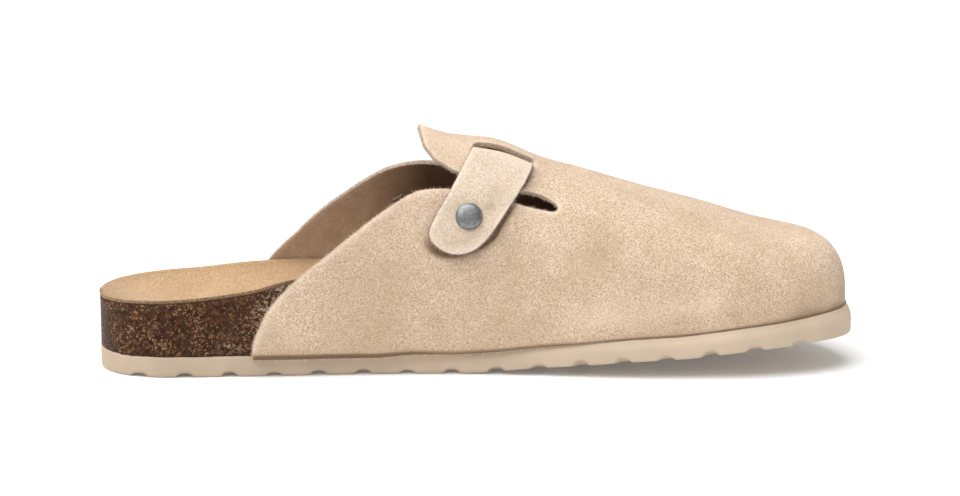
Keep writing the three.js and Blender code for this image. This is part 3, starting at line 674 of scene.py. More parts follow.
def cut_pattern(border, holes, step, border_step):
    """Even triangles over a flat pattern: its points, triangles and border loops as lists of indices."""
    loops = [resampled(border, border_step)] + [resampled(hole, border_step) for hole in holes]
    loops = [loop if (signed_area(loop) > 0) == (i == 0) else loop[::-1] for i, loop in enumerate(loops)]
    rim = np.vstack(loops)
    low, high = rim.min(0), rim.max(0)
    rows = np.arange(low[1], high[1], step * math.sqrt(3) / 2)
    grid = []
    for i, y in enumerate(rows):
        line = np.arange(low[0] + (i % 2) * step / 2, high[0], step)
        grid.append(np.stack([line, np.full_like(line, y)], -1))
    grid = np.vstack(grid)
    keep = within(grid, loops[0])
    for hole in loops[1:]:
        keep &= ~within(grid, hole)
    grid = grid[keep]
    tree = KDTree(len(rim))
    for i, point in enumerate(rim):
        tree.insert((point[0], point[1], 0), i)
    tree.balance()
    clear = [tree.find((x, y, 0))[2] > 0.6 * step for x, y in grid]
    points = np.vstack([rim, grid[clear]])
    constraints = []
    indices = []
    first = 0
    for loop in loops:
        ring = list(range(first, first + len(loop)))
        indices.append(ring)
        constraints += list(zip(ring, ring[1:] + ring[:1]))
        first += len(loop)
    made, _, triangles, origin, _, _ = delaunay_2d_cdt(
        [Vector(point) for point in points.tolist()], constraints, [], 0, 1e-5, True
    )
    if len(made) != len(points):
        raise RuntimeError("the pattern's outline crosses itself")
    source = np.array([old[0] for old in origin])
    triangles = source[np.array(triangles)]
    centres = points[triangles].mean(1)
    keep = within(centres, loops[0])
    for hole in loops[1:]:
        keep &= ~within(centres, hole)
    return points, triangles[keep], indices


def surface_normals(flat, surface, step=0.4):
    """Outward normals of a surface over a flat pattern."""
    across = surface(flat + [step, 0]) - surface(flat - [step, 0])
    along = surface(flat + [0, step]) - surface(flat - [0, step])
    return unit(np.cross(across, along))


def leather_sheet(name, pattern, surface, thickness, bulge, relief, material):
    """Leather with real thickness and rounded cut edges, laid on a surface by its outer face."""
    flat, triangles, loops = pattern
    normals = surface_normals(flat, surface)
    heights, shade, inside_shade, free = relief(flat)
    outer = surface(flat) + normals * heights[:, None]
    inner = outer - normals * thickness
    count = len(flat)
    points = [outer, inner]
    faces = [tuple(t) for t in triangles] + [tuple(t[::-1] + count) for t in triangles]
    rim = np.concatenate([np.array(loop) for loop in loops])
    tree = KDTree(len(rim))
    for i in rim:
        tree.insert(outer[i], i)
    tree.balance()
    near = np.array([tree.find(point)[2] for point in outer])
    # Lighter nap near free cut edges, partly fraying and partly a painted edge highlight.
    frayed = np.exp(-near / FRAY_REACH) * free
    rims = [frayed, frayed]
    # The outer face carries the relief's painted shade and painted light, the inner face and the cut edges
    # the painted shade inside.
    shades = [shade, inside_shade]
    cut = [np.zeros(count), np.zeros(count)]
    inside = [np.zeros(count), np.ones(count)]
    total = 2 * count
    for loop in loops:
        top = outer[loop]
        forward = unit(np.roll(top, -1, 0) - np.roll(top, 1, 0))
        away = unit(np.cross(forward, normals[loop]))
        rings = [np.array(loop)]
        for depth in EDGE_DEPTHS:
            swell = bulge * math.sqrt(1 - (2 * depth - 1) ** 2)
            points.append(top - normals[loop] * thickness * depth + away * swell)
            rings.append(np.arange(total, total + len(loop)))
            total += len(loop)
            cut.append(np.ones(len(loop)))
            rims.append(np.ones(len(loop)) * free[loop])
            shades.append(inside_shade[loop] * 0.3)
            inside.append(np.full(len(loop), float(depth > 0.9)))
        rings.append(np.array(loop) + count)
        for upper, lower in zip(rings, rings[1:]):
            faces += list(zip(upper, lower, np.roll(lower, -1), np.roll(upper, -1)))
    attributes = {
        "cut": np.concatenate(cut),
        "inside": np.concatenate(inside),
        "rim": np.concatenate(rims),
        "shade": np.concatenate(shades),
    }
    return new_object(name, np.vstack(points), faces, material, attributes)


class EvenUpper:
    """Flat coordinates on the upper that run nearly even with its real lengths."""

    def __init__(self):
        start = 0.17 * SOLE_LENGTH
        end = SOLE_LENGTH + OUTER_FACE - TUCK_DEPTH
        front = TOE_ROUND + OUTER_FACE - TUCK_DEPTH
        straight = np.linspace(start, end - front, 300, endpoint=False)
        tip = end - front + front * np.sin(np.linspace(0, 0.997, 400) * math.pi / 2)
        self.stations = np.concatenate([straight, tip])
        probes = [face_point(self.stations, turn) for turn in (-0.9, -0.6, -0.3, 0.0, 0.3, 0.6, 0.9)]
        steps = np.max([np.linalg.norm(np.diff(probe, axis=0), axis=1) for probe in probes], axis=0)
        self.lengths = start + np.concatenate([[0], np.cumsum(steps)])
        self.turns = np.linspace(-1, 1, 401)
        line = face_point(0.62 * SOLE_LENGTH, self.turns)
        around = np.concatenate([[0], np.cumsum(np.linalg.norm(np.diff(line, axis=0), axis=1))])
        self.arounds = around - np.interp(0, self.turns, around)

    def flat(self, station, turn):
        u = np.interp(station, self.stations, self.lengths)
        v = np.interp(turn, self.turns, self.arounds)
        return np.stack(np.broadcast_arrays(u, v), -1)

    def surface(self, flat):
        station = np.interp(flat[:, 0], self.lengths, self.stations)
        turn = np.interp(flat[:, 1], self.arounds, self.turns)
        return face_point(station, turn)


def spline(points, count):
    """Centripetal curve through points, as many points as asked."""
    points = np.asarray(points, float)
    ghosts = np.vstack([2 * points[0] - points[1], points, 2 * points[-1] - points[-2]])
    spans = len(points) - 1
    result = []
    for at in np.linspace(0, spans, count):
        i = min(int(at), spans - 1)
        a, b, c, d = ghosts[i : i + 4]
        knots = [0.0]
        for p, q in ((a, b), (b, c), (c, d)):
            knots.append(knots[-1] + max(np.linalg.norm(q - p) ** 0.5, 1e-6))
        t0, t1, t2, t3 = knots
        t = t1 + (at - i) * (t2 - t1)
        ab = (t1 - t) / (t1 - t0) * a + (t - t0) / (t1 - t0) * b
        bc = (t2 - t) / (t2 - t1) * b + (t - t1) / (t2 - t1) * c
        cd = (t3 - t) / (t3 - t2) * c + (t - t2) / (t3 - t2) * d
        abc = (t2 - t) / (t2 - t0) * ab + (t - t0) / (t2 - t0) * bc
        bcd = (t3 - t) / (t3 - t1) * bc + (t - t1) / (t3 - t1) * cd
        result.append((t2 - t) / (t2 - t1) * abc + (t - t1) / (t2 - t1) * bcd)
    return np.array(result)


def strap_place(even, flat):
    """Where points of the upper lie in the strap's own directions: across it and along it."""
    station = np.interp(flat[:, 0], even.lengths, even.stations)
    turn = np.interp(flat[:, 1], even.arounds, even.turns)
    height = face_point(station, turn)[:, 2] - STRAP_CREST[2]
    across = (station - STRAP_STATION) * math.cos(STRAP_LEAN) - height * math.sin(STRAP_LEAN)
    return across, np.interp(turn, ARC_TURNS, ARC_LENGTHS)


def away_from(flat, line):
    """Distance of points to a line of straight runs."""
    best = np.full(len(flat), 1e9)
    for a, b in zip(line, line[1:]):
        run = b - a
        share = np.clip((flat - a) @ run / (run @ run), 0, 1)
        best = np.minimum(best, np.linalg.norm(flat - a - share[:, None] * run, axis=1))
    return best


def cut_edge(even, rows, side):
    """A cut edge of the upper, on its flat coordinates, from the sole up to the tongue's tip."""
    curve = spline([(at * SOLE_LENGTH, up * INSTEP_HEIGHT) for at, up in rows], 420)
    turn = turn_at_height(curve[:, 0], curve[:, 1], side)
    keep = curve[:, 1] > section_at(curve[:, 0], OUTER_FACE)[2] + 0.05
    keep &= np.abs(turn) > 0.004
    return even.flat(curve[keep, 0], turn[keep])


def slit_outline(even, side):
    """Rounded outline of a strap slit, on the upper's flat coordinates."""
    half = STRAP_WIDTH / 2 + SLIT_SPARE
    near = INNER_SLIT if side < 0 else OUTER_SLIT
    corner = 1.2
    corners = []
    for across, arc, start in (
        (half - corner, near + SLIT_WIDTH - corner, 0),
        (-half + corner, near + SLIT_WIDTH - corner, 1),
        (-half + corner, near + corner, 2),
        (half - corner, near + corner, 3),
    ):
        angles = (start + np.linspace(0, 1, 6)) * math.pi / 2
        corners += [(across + corner * math.cos(a), arc + corner * math.sin(a)) for a in angles]
    outline = resampled(np.array(corners), 0.5)
    points = strap_point(outline[:, 0], turn_at(side * outline[:, 1]), 0.0)
    turn = turn_at(side * outline[:, 1])
    return even.flat(points[:, 0], turn)


# Loose fibres by Geometry Nodes


def fuzz_tree():
    """Node group that plants short tapered fibres on the raw edges and thinly on the nap."""
    tree = bpy.data.node_groups.get("leather_fuzz")
    if tree is not None:
        return tree
    tree = bpy.data.node_groups.new("leather_fuzz", "GeometryNodeTree")
    face = tree.interface
    face.new_socket("Leather", in_out="INPUT", socket_type="NodeSocketGeometry")
    for title, kind in (
        ("Edge density", "NodeSocketFloat"),
        ("Nap density", "NodeSocketFloat"),
        ("Length", "NodeSocketFloat"),
        ("Radius", "NodeSocketFloat"),
        ("Seed", "NodeSocketInt"),
        ("Finish", "NodeSocketMaterial"),
    ):
        face.new_socket(title, in_out="INPUT", socket_type=kind)
    face.new_socket("Fuzz", in_out="OUTPUT", socket_type="NodeSocketGeometry")
    nodes, links = tree.nodes, tree.links
    start = nodes.new("NodeGroupInput")
    cut = nodes.new("GeometryNodeInputNamedAttribute")
    cut.data_type = "FLOAT"
    cut.inputs["Name"].default_value = "cut"
    inside = nodes.new("GeometryNodeInputNamedAttribute")
    inside.data_type = "FLOAT"
    inside.inputs["Name"].default_value = "inside"

    def maths(operation, a, b):
        made = nodes.new("ShaderNodeMath")
        made.operation = operation
        for socket, value in zip(made.inputs, (a, b)):
            if isinstance(value, bpy.types.NodeSocket):
                links.new(value, socket)
            else:
                socket.default_value = value
        return made.outputs[0]

    on_edge = maths("GREATER_THAN", cut.outputs["Attribute"], 0.3)
    outside = maths("LESS_THAN", inside.outputs["Attribute"], 0.5)
    edge_share = maths("MULTIPLY", on_edge, start.outputs["Edge density"])
    nap_share = maths("MULTIPLY", outside, start.outputs["Nap density"])
    scatter = nodes.new("GeometryNodeDistributePointsOnFaces")
    links.new(start.outputs["Leather"], scatter.inputs["Mesh"])
    links.new(maths("MAXIMUM", edge_share, nap_share), scatter.inputs["Density"])
    links.new(start.outputs["Seed"], scatter.inputs["Seed"])
    fibre = nodes.new("GeometryNodeMeshCone")
    fibre.inputs["Vertices"].default_value = 3
    fibre.inputs["Radius Top"].default_value = 0.0
    links.new(start.outputs["Radius"], fibre.inputs["Radius Bottom"])
    links.new(start.outputs["Length"], fibre.inputs["Depth"])
    lean = nodes.new("FunctionNodeRandomValue")
    lean.data_type = "FLOAT_VECTOR"
    lean.inputs[0].default_value = (-1.2, -1.2, 0.0)
    lean.inputs[1].default_value = (1.2, 1.2, 6.28)
    turned = nodes.new("FunctionNodeRotateRotation")
    turned.rotation_space = "LOCAL"
    links.new(scatter.outputs["Rotation"], turned.inputs[0])
    links.new(lean.outputs[0], turned.inputs[1])
    grown = nodes.new("FunctionNodeRandomValue")
    grown.data_type = "FLOAT"
    grown.inputs[2].default_value = 0.35
    grown.inputs[3].default_value = 1.5
    longer = maths("MULTIPLY", grown.outputs[1], maths("ADD", maths("MULTIPLY", on_edge, 0.5), 0.5))
    plant = nodes.new("GeometryNodeInstanceOnPoints")
    links.new(scatter.outputs["Points"], plant.inputs["Points"])
    links.new(fibre.outputs["Mesh"], plant.inputs["Instance"])
    links.new(turned.outputs[0], plant.inputs["Rotation"])
    links.new(longer, plant.inputs["Scale"])
    solid = nodes.new("GeometryNodeRealizeInstances")
    links.new(plant.outputs["Instances"], solid.inputs["Geometry"])
    dressed = nodes.new("GeometryNodeSetMaterial")
    links.new(solid.outputs["Geometry"], dressed.inputs["Geometry"])
    links.new(start.outputs["Finish"], dressed.inputs["Material"])
    end = nodes.new("NodeGroupOutput")
    links.new(dressed.outputs["Geometry"], end.inputs[0])
    return tree


def add_fuzz(leather, name, base, share=1.0):
    """Loose fibres of one piece of leather, as one plain mesh."""
    tree = fuzz_tree()
    settings = bpy.context.scene.mule_sizes
    host = bpy.data.objects.new(name + "_host", leather.data)
    bpy.context.collection.objects.link(host)
    modifier = host.modifiers.new("fuzz", "NODES")
    modifier.node_group = tree
    values = {
        "Edge density": share * settings.fibre_density / MM**2,
        "Nap density": settings.nap_density / MM**2,
        "Length": size("fibre_length") * MM,
        "Radius": size("fibre_radius") * MM,
        "Seed": settings.fibre_seed,
        "Finish": fibre_finish(name + "_fibre", base),
    }
    for item in tree.interface.items_tree:
        if item.in_out == "INPUT" and item.name in values:
            modifier[item.identifier] = values[item.name]
    graph = bpy.context.evaluated_depsgraph_get()
    mesh = bpy.data.meshes.new_from_object(host.evaluated_get(graph))
    mesh.name = name
    bpy.data.objects.remove(host)
    fuzz = bpy.data.objects.new(name, mesh)
    bpy.context.collection.objects.link(fuzz)
    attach(fuzz, "root")


# Node helpers


def tinted(base, *shares):
    """A colour scaled by one share, or by one for each of red, green and blue."""
    if len(shares) == 1:
        shares = shares * 3
    return tuple(min(1.0, part * share) for part, share in zip(base, shares))


class Finish:
    """A node material with a Principled shader, built step by step."""

    def __init__(self, name, roughness=0.9, metallic=0.0, specular=0.3):
        self.material = bpy.data.materials.new(name)
        self.material.use_nodes = True
        self.tree = self.material.node_tree
        self.shader = self.tree.nodes["Principled BSDF"]
        self.shader.inputs["Roughness"].default_value = roughness
        self.shader.inputs["Metallic"].default_value = metallic
        self.shader.inputs["Specular IOR Level"].default_value = specular
        self.place = self.node("ShaderNodeTexCoord").outputs["Object"]

    def node(self, kind, **settings):
        made = self.tree.nodes.new(kind)
        for key, value in settings.items():
            setattr(made, key, value)
        return made

    def put(self, socket, value):
        if isinstance(value, bpy.types.NodeSocket):
            self.tree.links.new(value, socket)
        elif isinstance(value, (tuple, list)) and len(value) == 3 and socket.type == "RGBA":
            socket.default_value = (*value, 1.0)
        else:
            socket.default_value = value

    def set(self, name, value):
        self.put(self.shader.inputs[name], value)

    def noise(self, size, detail=3.0, roughness=0.55, distortion=0.0, stretch=(1, 1, 1)):
        """Noise with features of a size in millimetres."""
        made = self.node("ShaderNodeTexNoise")
        self.put(made.inputs["Vector"], self.stretched(stretch))
        made.inputs["Scale"].default_value = 1 / (size * MM)
        made.inputs["Detail"].default_value = detail
        made.inputs["Roughness"].default_value = roughness
        made.inputs["Distortion"].default_value = distortion
        return made.outputs["Fac"]

    def stretched(self, stretch):
        if stretch == (1, 1, 1):
            return self.place
        made = self.node("ShaderNodeMapping")
        self.put(made.inputs["Vector"], self.place)
        made.inputs["Scale"].default_value = stretch
        return made.outputs["Vector"]

    def cells(self, size, vector):
        """A random colour for each cell of a size in millimetres."""
        made = self.node("ShaderNodeTexVoronoi")
        self.put(made.inputs["Vector"], vector)
        made.inputs["Scale"].default_value = 1 / (size * MM)
        return made.outputs["Color"]

    def attribute(self, name):
        return self.node("ShaderNodeAttribute", attribute_name=name).outputs["Fac"]

    def math(self, operation, a, b=0.0, clamp=False):
        made = self.node("ShaderNodeMath", operation=operation, use_clamp=clamp)
        self.put(made.inputs[0], a)
        self.put(made.inputs[1], b)
        return made.outputs[0]

    def between(self, value, low, high, out_low=0.0, out_high=1.0):
        made = self.node("ShaderNodeMapRange")
        for socket, number in zip(made.inputs, (value, low, high, out_low, out_high)):
            self.put(socket, number)
        return made.outputs["Result"]

    def mix(self, factor, a, b):
        made = self.node("ShaderNodeMix", data_type="RGBA")
        self.put(made.inputs["Factor"], factor)
        self.put(made.inputs[6], a)
        self.put(made.inputs[7], b)
        return made.outputs[2]

    def bump(self, height, distance, strength=1.0, below=None):
        made = self.node("ShaderNodeBump")
        made.inputs["Strength"].default_value = strength
        made.inputs["Distance"].default_value = distance * MM
        self.put(made.inputs["Height"], height)
        if below is not None:
            self.put(made.inputs["Normal"], below)
        return made.outputs["Normal"]


def suede(name, colour, cut_colour, inside_colour, nap, spread=1.0):
    """Brushed suede: short nap, cloudy tone, raw cut edges and a darker inner face, with painted shade and
    painted light from the shade attribute.
    """
    finish = Finish(name, roughness=0.94, specular=0.12)
    light = tinted(colour, 1 + 0.22 * spread, 1 + 0.25 * spread, 1 + 0.29 * spread)
    dark = tinted(colour, 1 - 0.3 * spread, 1 - 0.36 * spread, 1 - 0.44 * spread)
    deep = tinted(colour, 0.52, 0.47, 0.42)
    grain = finish.noise(0.56, detail=3, roughness=0.8)
    mottle = finish.noise(1.6, detail=3, roughness=0.6)
    fibres = finish.noise(0.55, detail=1, roughness=0.6, distortion=0.6, stretch=(0.8, 0.8, 1.2))
    clouds = finish.noise(24, detail=4, roughness=0.62, distortion=0.5)
    patches = finish.noise(6, detail=4, roughness=0.62)
    tone = finish.mix(finish.between(grain, 0.41, 0.59), dark, light)
    tone = finish.mix(0.1, tone, colour)
    tone = finish.mix(finish.between(mottle, 0.5, 0.68, 0.0, 0.26), tone, dark)
    tone = finish.mix(finish.between(clouds, 0.42, 0.66, 0.0, 0.34), tone, dark)
    tone = finish.mix(finish.between(patches, 0.46, 0.7, 0.0, 0.2), tone, dark)
    tone = finish.mix(finish.between(fibres, 0.57, 0.7, 0.0, 0.5), tone, light)
    tone = finish.mix(finish.between(finish.noise(1.7, detail=1), 0.73, 0.78, 0.0, 0.6), tone, deep)
    # Painted shade and painted light from the shade attribute: above zero it darkens the nap, above 0.6
    # towards a deep painted shadow, and below zero it lightens it.
    shade = finish.attribute("shade")
    tone = finish.mix(finish.between(shade, 0.0, 1.0, 0.0, 0.75), tone, dark)
    tone = finish.mix(finish.between(shade, 0.0, -1.0, 0.0, 0.6), tone, light)
    tone = finish.mix(finish.between(shade, 0.6, 1.4, 0.0, 0.95), tone, tinted(deep, 0.5, 0.45, 0.4))
    # Lighter nap near free cut edges, partly fraying and partly a painted edge highlight.
    loose = finish.between(patches, 0.35, 0.6, 0.2, 0.8)
    tone = finish.mix(finish.math("MULTIPLY", finish.attribute("rim"), loose), tone, light)
    # Inner face: its own darker colour in patches and grain, and painted shade towards near black where the
    # shade attribute is high, inside the toe.
    dusk = tinted(inside_colour, 0.74, 0.71, 0.68)
    inside_shadow = tinted(inside_colour, 0.17, 0.13, 0.1)
    dawn = tinted(inside_colour, 1.12)
    inner = finish.mix(finish.between(patches, 0.35, 0.65, 0.4, 1.0), dusk, dawn)
    inner = finish.mix(finish.between(grain, 0.42, 0.62, 0.0, 0.75), inner, dusk)
    inner = finish.mix(finish.between(shade, 0.0, 1.0, 0.0, 0.96), inner, inside_shadow)
    tone = finish.mix(finish.attribute("inside"), tone, inner)
    raw = finish.mix(finish.between(fibres, 0.42, 0.6), tinted(cut_colour, 0.6, 0.58, 0.56), cut_colour)
    raw = finish.mix(finish.between(grain, 0.52, 0.62, 0.0, 0.8), raw, colour)
    tone = finish.mix(finish.attribute("cut"), tone, raw)
    finish.set("Base Color", tone)
    finish.set("Sheen Weight", 0.2)
    finish.set("Sheen Roughness", 0.5)
    finish.set("Sheen Tint", (1.0, 0.93, 0.85))
    soft = finish.bump(patches, 0.45, 0.3)
    fine = finish.bump(fibres, nap, 0.7, soft)
    finish.set("Normal", finish.bump(grain, nap * 1.6, 0.9, fine))
    return finish.material


def fibre_finish(name, base):
    """Finish of loose fibres, some lighter and some darker than their leather."""
    finish = Finish(name, roughness=0.9, specular=0.1)
    uneven = finish.between(finish.noise(1.3, detail=1), 0.36, 0.6)
    finish.set("Base Color", finish.mix(uneven, tinted(base, 0.62), tinted(base, 1.12, 1.14, 1.17)))
    return finish.material


def cork_granules(name, colour, fleck):
    """Pressed cork: dark crumbs and tan flecks under a thin sealer."""
    finish = Finish(name, roughness=0.55, specular=0.1)
    warp = finish.node("ShaderNodeTexNoise")
    finish.put(warp.inputs["Vector"], finish.place)
    warp.inputs["Scale"].default_value = 1 / (2.2 * MM)
    warp.inputs["Detail"].default_value = 3.0
    wobble = finish.node("ShaderNodeVectorMath", operation="MULTIPLY_ADD")
    finish.put(wobble.inputs[0], warp.outputs["Color"])
    wobble.inputs[1].default_value = (0.0011, 0.0011, 0.0011)
    finish.put(wobble.inputs[2], finish.place)
    warped = wobble.outputs[0]

    def parts(size):
        made = finish.node("ShaderNodeSeparateColor")
        finish.put(made.inputs[0], finish.cells(size, warped))
        return made.outputs

    grains = parts(1.35)
    crumbs = parts(0.75)
    dust = parts(0.4)
    rust = tinted(fleck, 0.5, 0.36, 0.28)
    ochre = tinted(fleck, 0.9, 0.9, 0.6)
    pale = tinted(fleck, 1.4, 1.5, 1.55)
    glue = (0.5, 0.38, 0.27)
    tone = finish.mix(grains[0], tinted(colour, 0.42), tinted(colour, 1.7))
    tone = finish.mix(finish.between(crumbs[1], 0.2, 1.0, 0.0, 0.7), tone, colour)
    tone = finish.mix(finish.between(grains[1], 0.86, 0.95, 0.0, 0.55), tone, rust)
    crowded = finish.math("ADD", finish.between(finish.noise(11, detail=2), 0.4, 0.62), 0.3)
    bits = finish.math("MULTIPLY", finish.between(crumbs[0], 0.87, 0.93), crowded, clamp=True)
    tone = finish.mix(finish.math("MULTIPLY", bits, 0.75), tone, fleck)
    tone = finish.mix(finish.between(crumbs[2], 0.94, 0.98, 0.0, 0.5), tone, ochre)
    specks = finish.math("MULTIPLY", finish.between(dust[0], 0.92, 0.96), crowded, clamp=True)
    tone = finish.mix(finish.math("MULTIPLY", specks, 0.7), tone, pale)
    patchy = finish.between(finish.noise(1.6, detail=4, roughness=0.7), 0.5, 0.58)
    smear = finish.math("MULTIPLY", finish.attribute("smear"), patchy)
    tone = finish.mix(finish.math("MULTIPLY", smear, 0.7), tone, glue)
    finish.set("Base Color", tone)
    finish.set("Coat Weight", 0.02)
    finish.set("Coat Roughness", 0.35)
    lumps = finish.bump(grains[0], 0.2, 0.5)
    finish.set("Normal", finish.bump(finish.noise(0.9, detail=4, roughness=0.7), 0.3, 0.7, lumps))
    return finish.material


def foam_rubber(name, colour):
    """Matt foam rubber, darker where the valley attribute says: dirt and painted shade in its channels,
    darker towards the heel, painted shade on the lip under the upper.
    """
    finish = Finish(name, roughness=0.72, specular=0.35)
    dark = tinted(colour, 0.84)
    tone = finish.mix(finish.between(finish.noise(14, detail=3), 0.35, 0.65, 0.0, 0.6), colour, dark)
    tone = finish.mix(finish.between(finish.noise(0.5, detail=2), 0.5, 0.75, 0.0, 0.25), tone, dark)
    soil_and_shade = tinted(colour, 0.5, 0.46, 0.42)
    tone = finish.mix(finish.math("MULTIPLY", finish.attribute("valley"), 0.75), tone, soil_and_shade)
    finish.set("Base Color", tone)
    broad = finish.bump(finish.noise(5, detail=2), 0.25, 0.3)
    finish.set("Normal", finish.bump(finish.noise(0.35, detail=3), 0.06, 0.6, broad))
    return finish.material


def satin_metal():
    """Dull grey metal of the rivets and the buckle, made once."""
    made = bpy.data.materials.get("satin_metal")
    if made is not None:
        return made
    base = colour("metal")
    finish = Finish("satin_metal", roughness=0.5, metallic=1.0)
    worn = finish.noise(1.2, detail=4, roughness=0.7)
    tone = finish.mix(finish.between(worn, 0.3, 0.7), tinted(base, 0.6), tinted(base, 1.3))
    finish.set("Base Color", tone)
    finish.set("Roughness", finish.between(worn, 0.3, 0.75, 0.42, 0.6))
    finish.set("Normal", finish.bump(finish.noise(0.35, detail=3), 0.02, 0.5))
    return finish.material


def length_setting(name, description, default):
    """Setting for a length, given in millimetres and held in metres."""
    return FloatProperty(
        name=name, description=description, default=default * MM, min=0.0, precision=5, subtype="DISTANCE"
    )


def colour_setting(name, description, default):
    """Setting for a colour, as linear light."""
    return FloatVectorProperty(
        name=name, description=description, default=default, min=0.0, max=1.0, subtype="COLOR"
    )


class MuleSizes(PropertyGroup):
    """Sizes that only the dressed shoe has."""

    pattern_step: length_setting("Leather step", "Distance between mesh points on leather", 1.5)
    cut_bulge: length_setting("Cut bulge", "Swell of raw cut edges", 0.45)
    nap: length_setting("Nap", "Depth of the suede's nap", 0.22)
    toe_crown: length_setting("Toe crown", "Extra fullness over the toe box", 0.8)
    tip_curl: length_setting("Tip curl", "How far the strap's riveted end stands off the leather", 1.0)
    bridge_rise: length_setting("Bridge rise", "How far the strap lifts the leather over it", 1.0)
    groove_width: length_setting("Groove width", "Width of the tread's channels", 6.4)
    groove_depth: length_setting("Groove depth", "Depth of the tread's channels", 2.4)
    notch_depth: length_setting("Notch depth", "Depth of a channel where it leaves the side", 1.5)
    notch_flare: length_setting("Notch flare", "Extra width of a channel where it leaves the side", 1.2)
    fibre_radius: length_setting("Fibre radius", "Radius of loose fibres", 0.07)
    fibre_length: length_setting("Fibre length", "Length of loose fibres on cut edges", 1.0)
    fibre_density: FloatProperty(
        name="Fibre density",
        description="Loose fibres on each square millimetre of cut edge",
        default=3.0,
        min=0.0,
    )
    nap_density: FloatProperty(
        name="Nap density", description="Loose fibres on each square millimetre of nap", default=0.35, min=0.0
    )
    fibre_seed: IntProperty(name="Fibre seed", description="Seed of the fibres' places", default=4)


class MuleColours(PropertyGroup):
    """Colours of the finishes, as linear light."""

    suede: colour_setting("Suede", "Upper", (0.658, 0.508, 0.378))
    strap: colour_setting("Strap", "Strap and tab", (0.71, 0.585, 0.47))
    cut: colour_setting("Cut edge", "Raw edge of leather", (0.55, 0.44, 0.355))
    inside: colour_setting("Inner face", "Flesh side of the upper", (0.5, 0.355, 0.25))
    lining: colour_setting("Lining", "Footbed lining", (0.51, 0.345, 0.205))
    cork: colour_setting("Cork", "Cork between its flecks", (0.043, 0.017, 0.008))
    fleck: colour_setting("Cork fleck", "Light grains in the cork", (0.28, 0.155, 0.078))
    rubber: colour_setting("Foam rubber", "Outsole", (0.56, 0.445, 0.325))
    metal: colour_setting("Metal", "Rivets and buckle", (0.238, 0.246, 0.243))


def size(name):
    """One of the dressed shoe's lengths in millimetres, free of the setting's rounding."""
    return round(getattr(bpy.context.scene.mule_sizes, name) / MM, 4)


def colour(name):
    """One of the shoe's colours, as red, green and blue."""
    return tuple(getattr(bpy.context.scene.mule_colours, name))


class MULE_OT_outsole(Operator):
    """Outsole with wavy channels, a soft lip and eased edges"""

    bl_idname = "mule.outsole"
    bl_label = "Outsole"

    def execute(self, context):
        stations = stations_between(0.0, SOLE_LENGTH, TOE_ROUND, 380, 60, 110)
        rings = []
        valleys = []
        for station in stations:
            ring, valley = outsole_ring(station)
            rings.append(ring)
            valleys.append(valley)
        points, faces = loft(rings)
        material = foam_rubber("foam_rubber", colour("rubber"))
        piece = new_object("outsole_tread", points, faces, material, {"valley": np.concatenate(valleys)})
        hidden_by(piece, "outsole")
        return {"FINISHED"}


def groove_depth_at(station, y):
    """Depth of the tread's channels at one place of the tread, shallower where they leave the side."""
    inner, outer, middle = edges_at(station, 0.0, 0.0)
    half = np.maximum((outer - inner) / 2, 1.0)
    across = np.clip(np.abs(y - middle) / half, 0, 1)
    swing = GROOVE_WAVE * np.sin(3 * math.pi * y / HEEL_WIDTH)
    first = 0.85 * LUG_PITCH
    number = np.round((station - swing - first) / LUG_PITCH)
    last = math.floor((SOLE_LENGTH - LUG_PITCH / 2 - first) / LUG_PITCH)
    number = np.clip(number, 0, last)
    away = np.abs(station - swing - first - number * LUG_PITCH)
    uneven = 1 + 0.18 * np.sin(number * 4.1 + np.sign(y))
    width = size("groove_width") + size("notch_flare") * across**6
    depth = size("groove_depth") + (size("notch_depth") * uneven - size("groove_depth")) * across**5
    inside = half * (1 - across)
    sill = 1 - 0.8 * np.exp(-(((inside - 3.6) / 1.9) ** 2))
    into = np.clip(2 * away / width, 0, 1)
    return depth * sill * (0.5 + 0.5 * np.cos(math.pi * into**1.7))


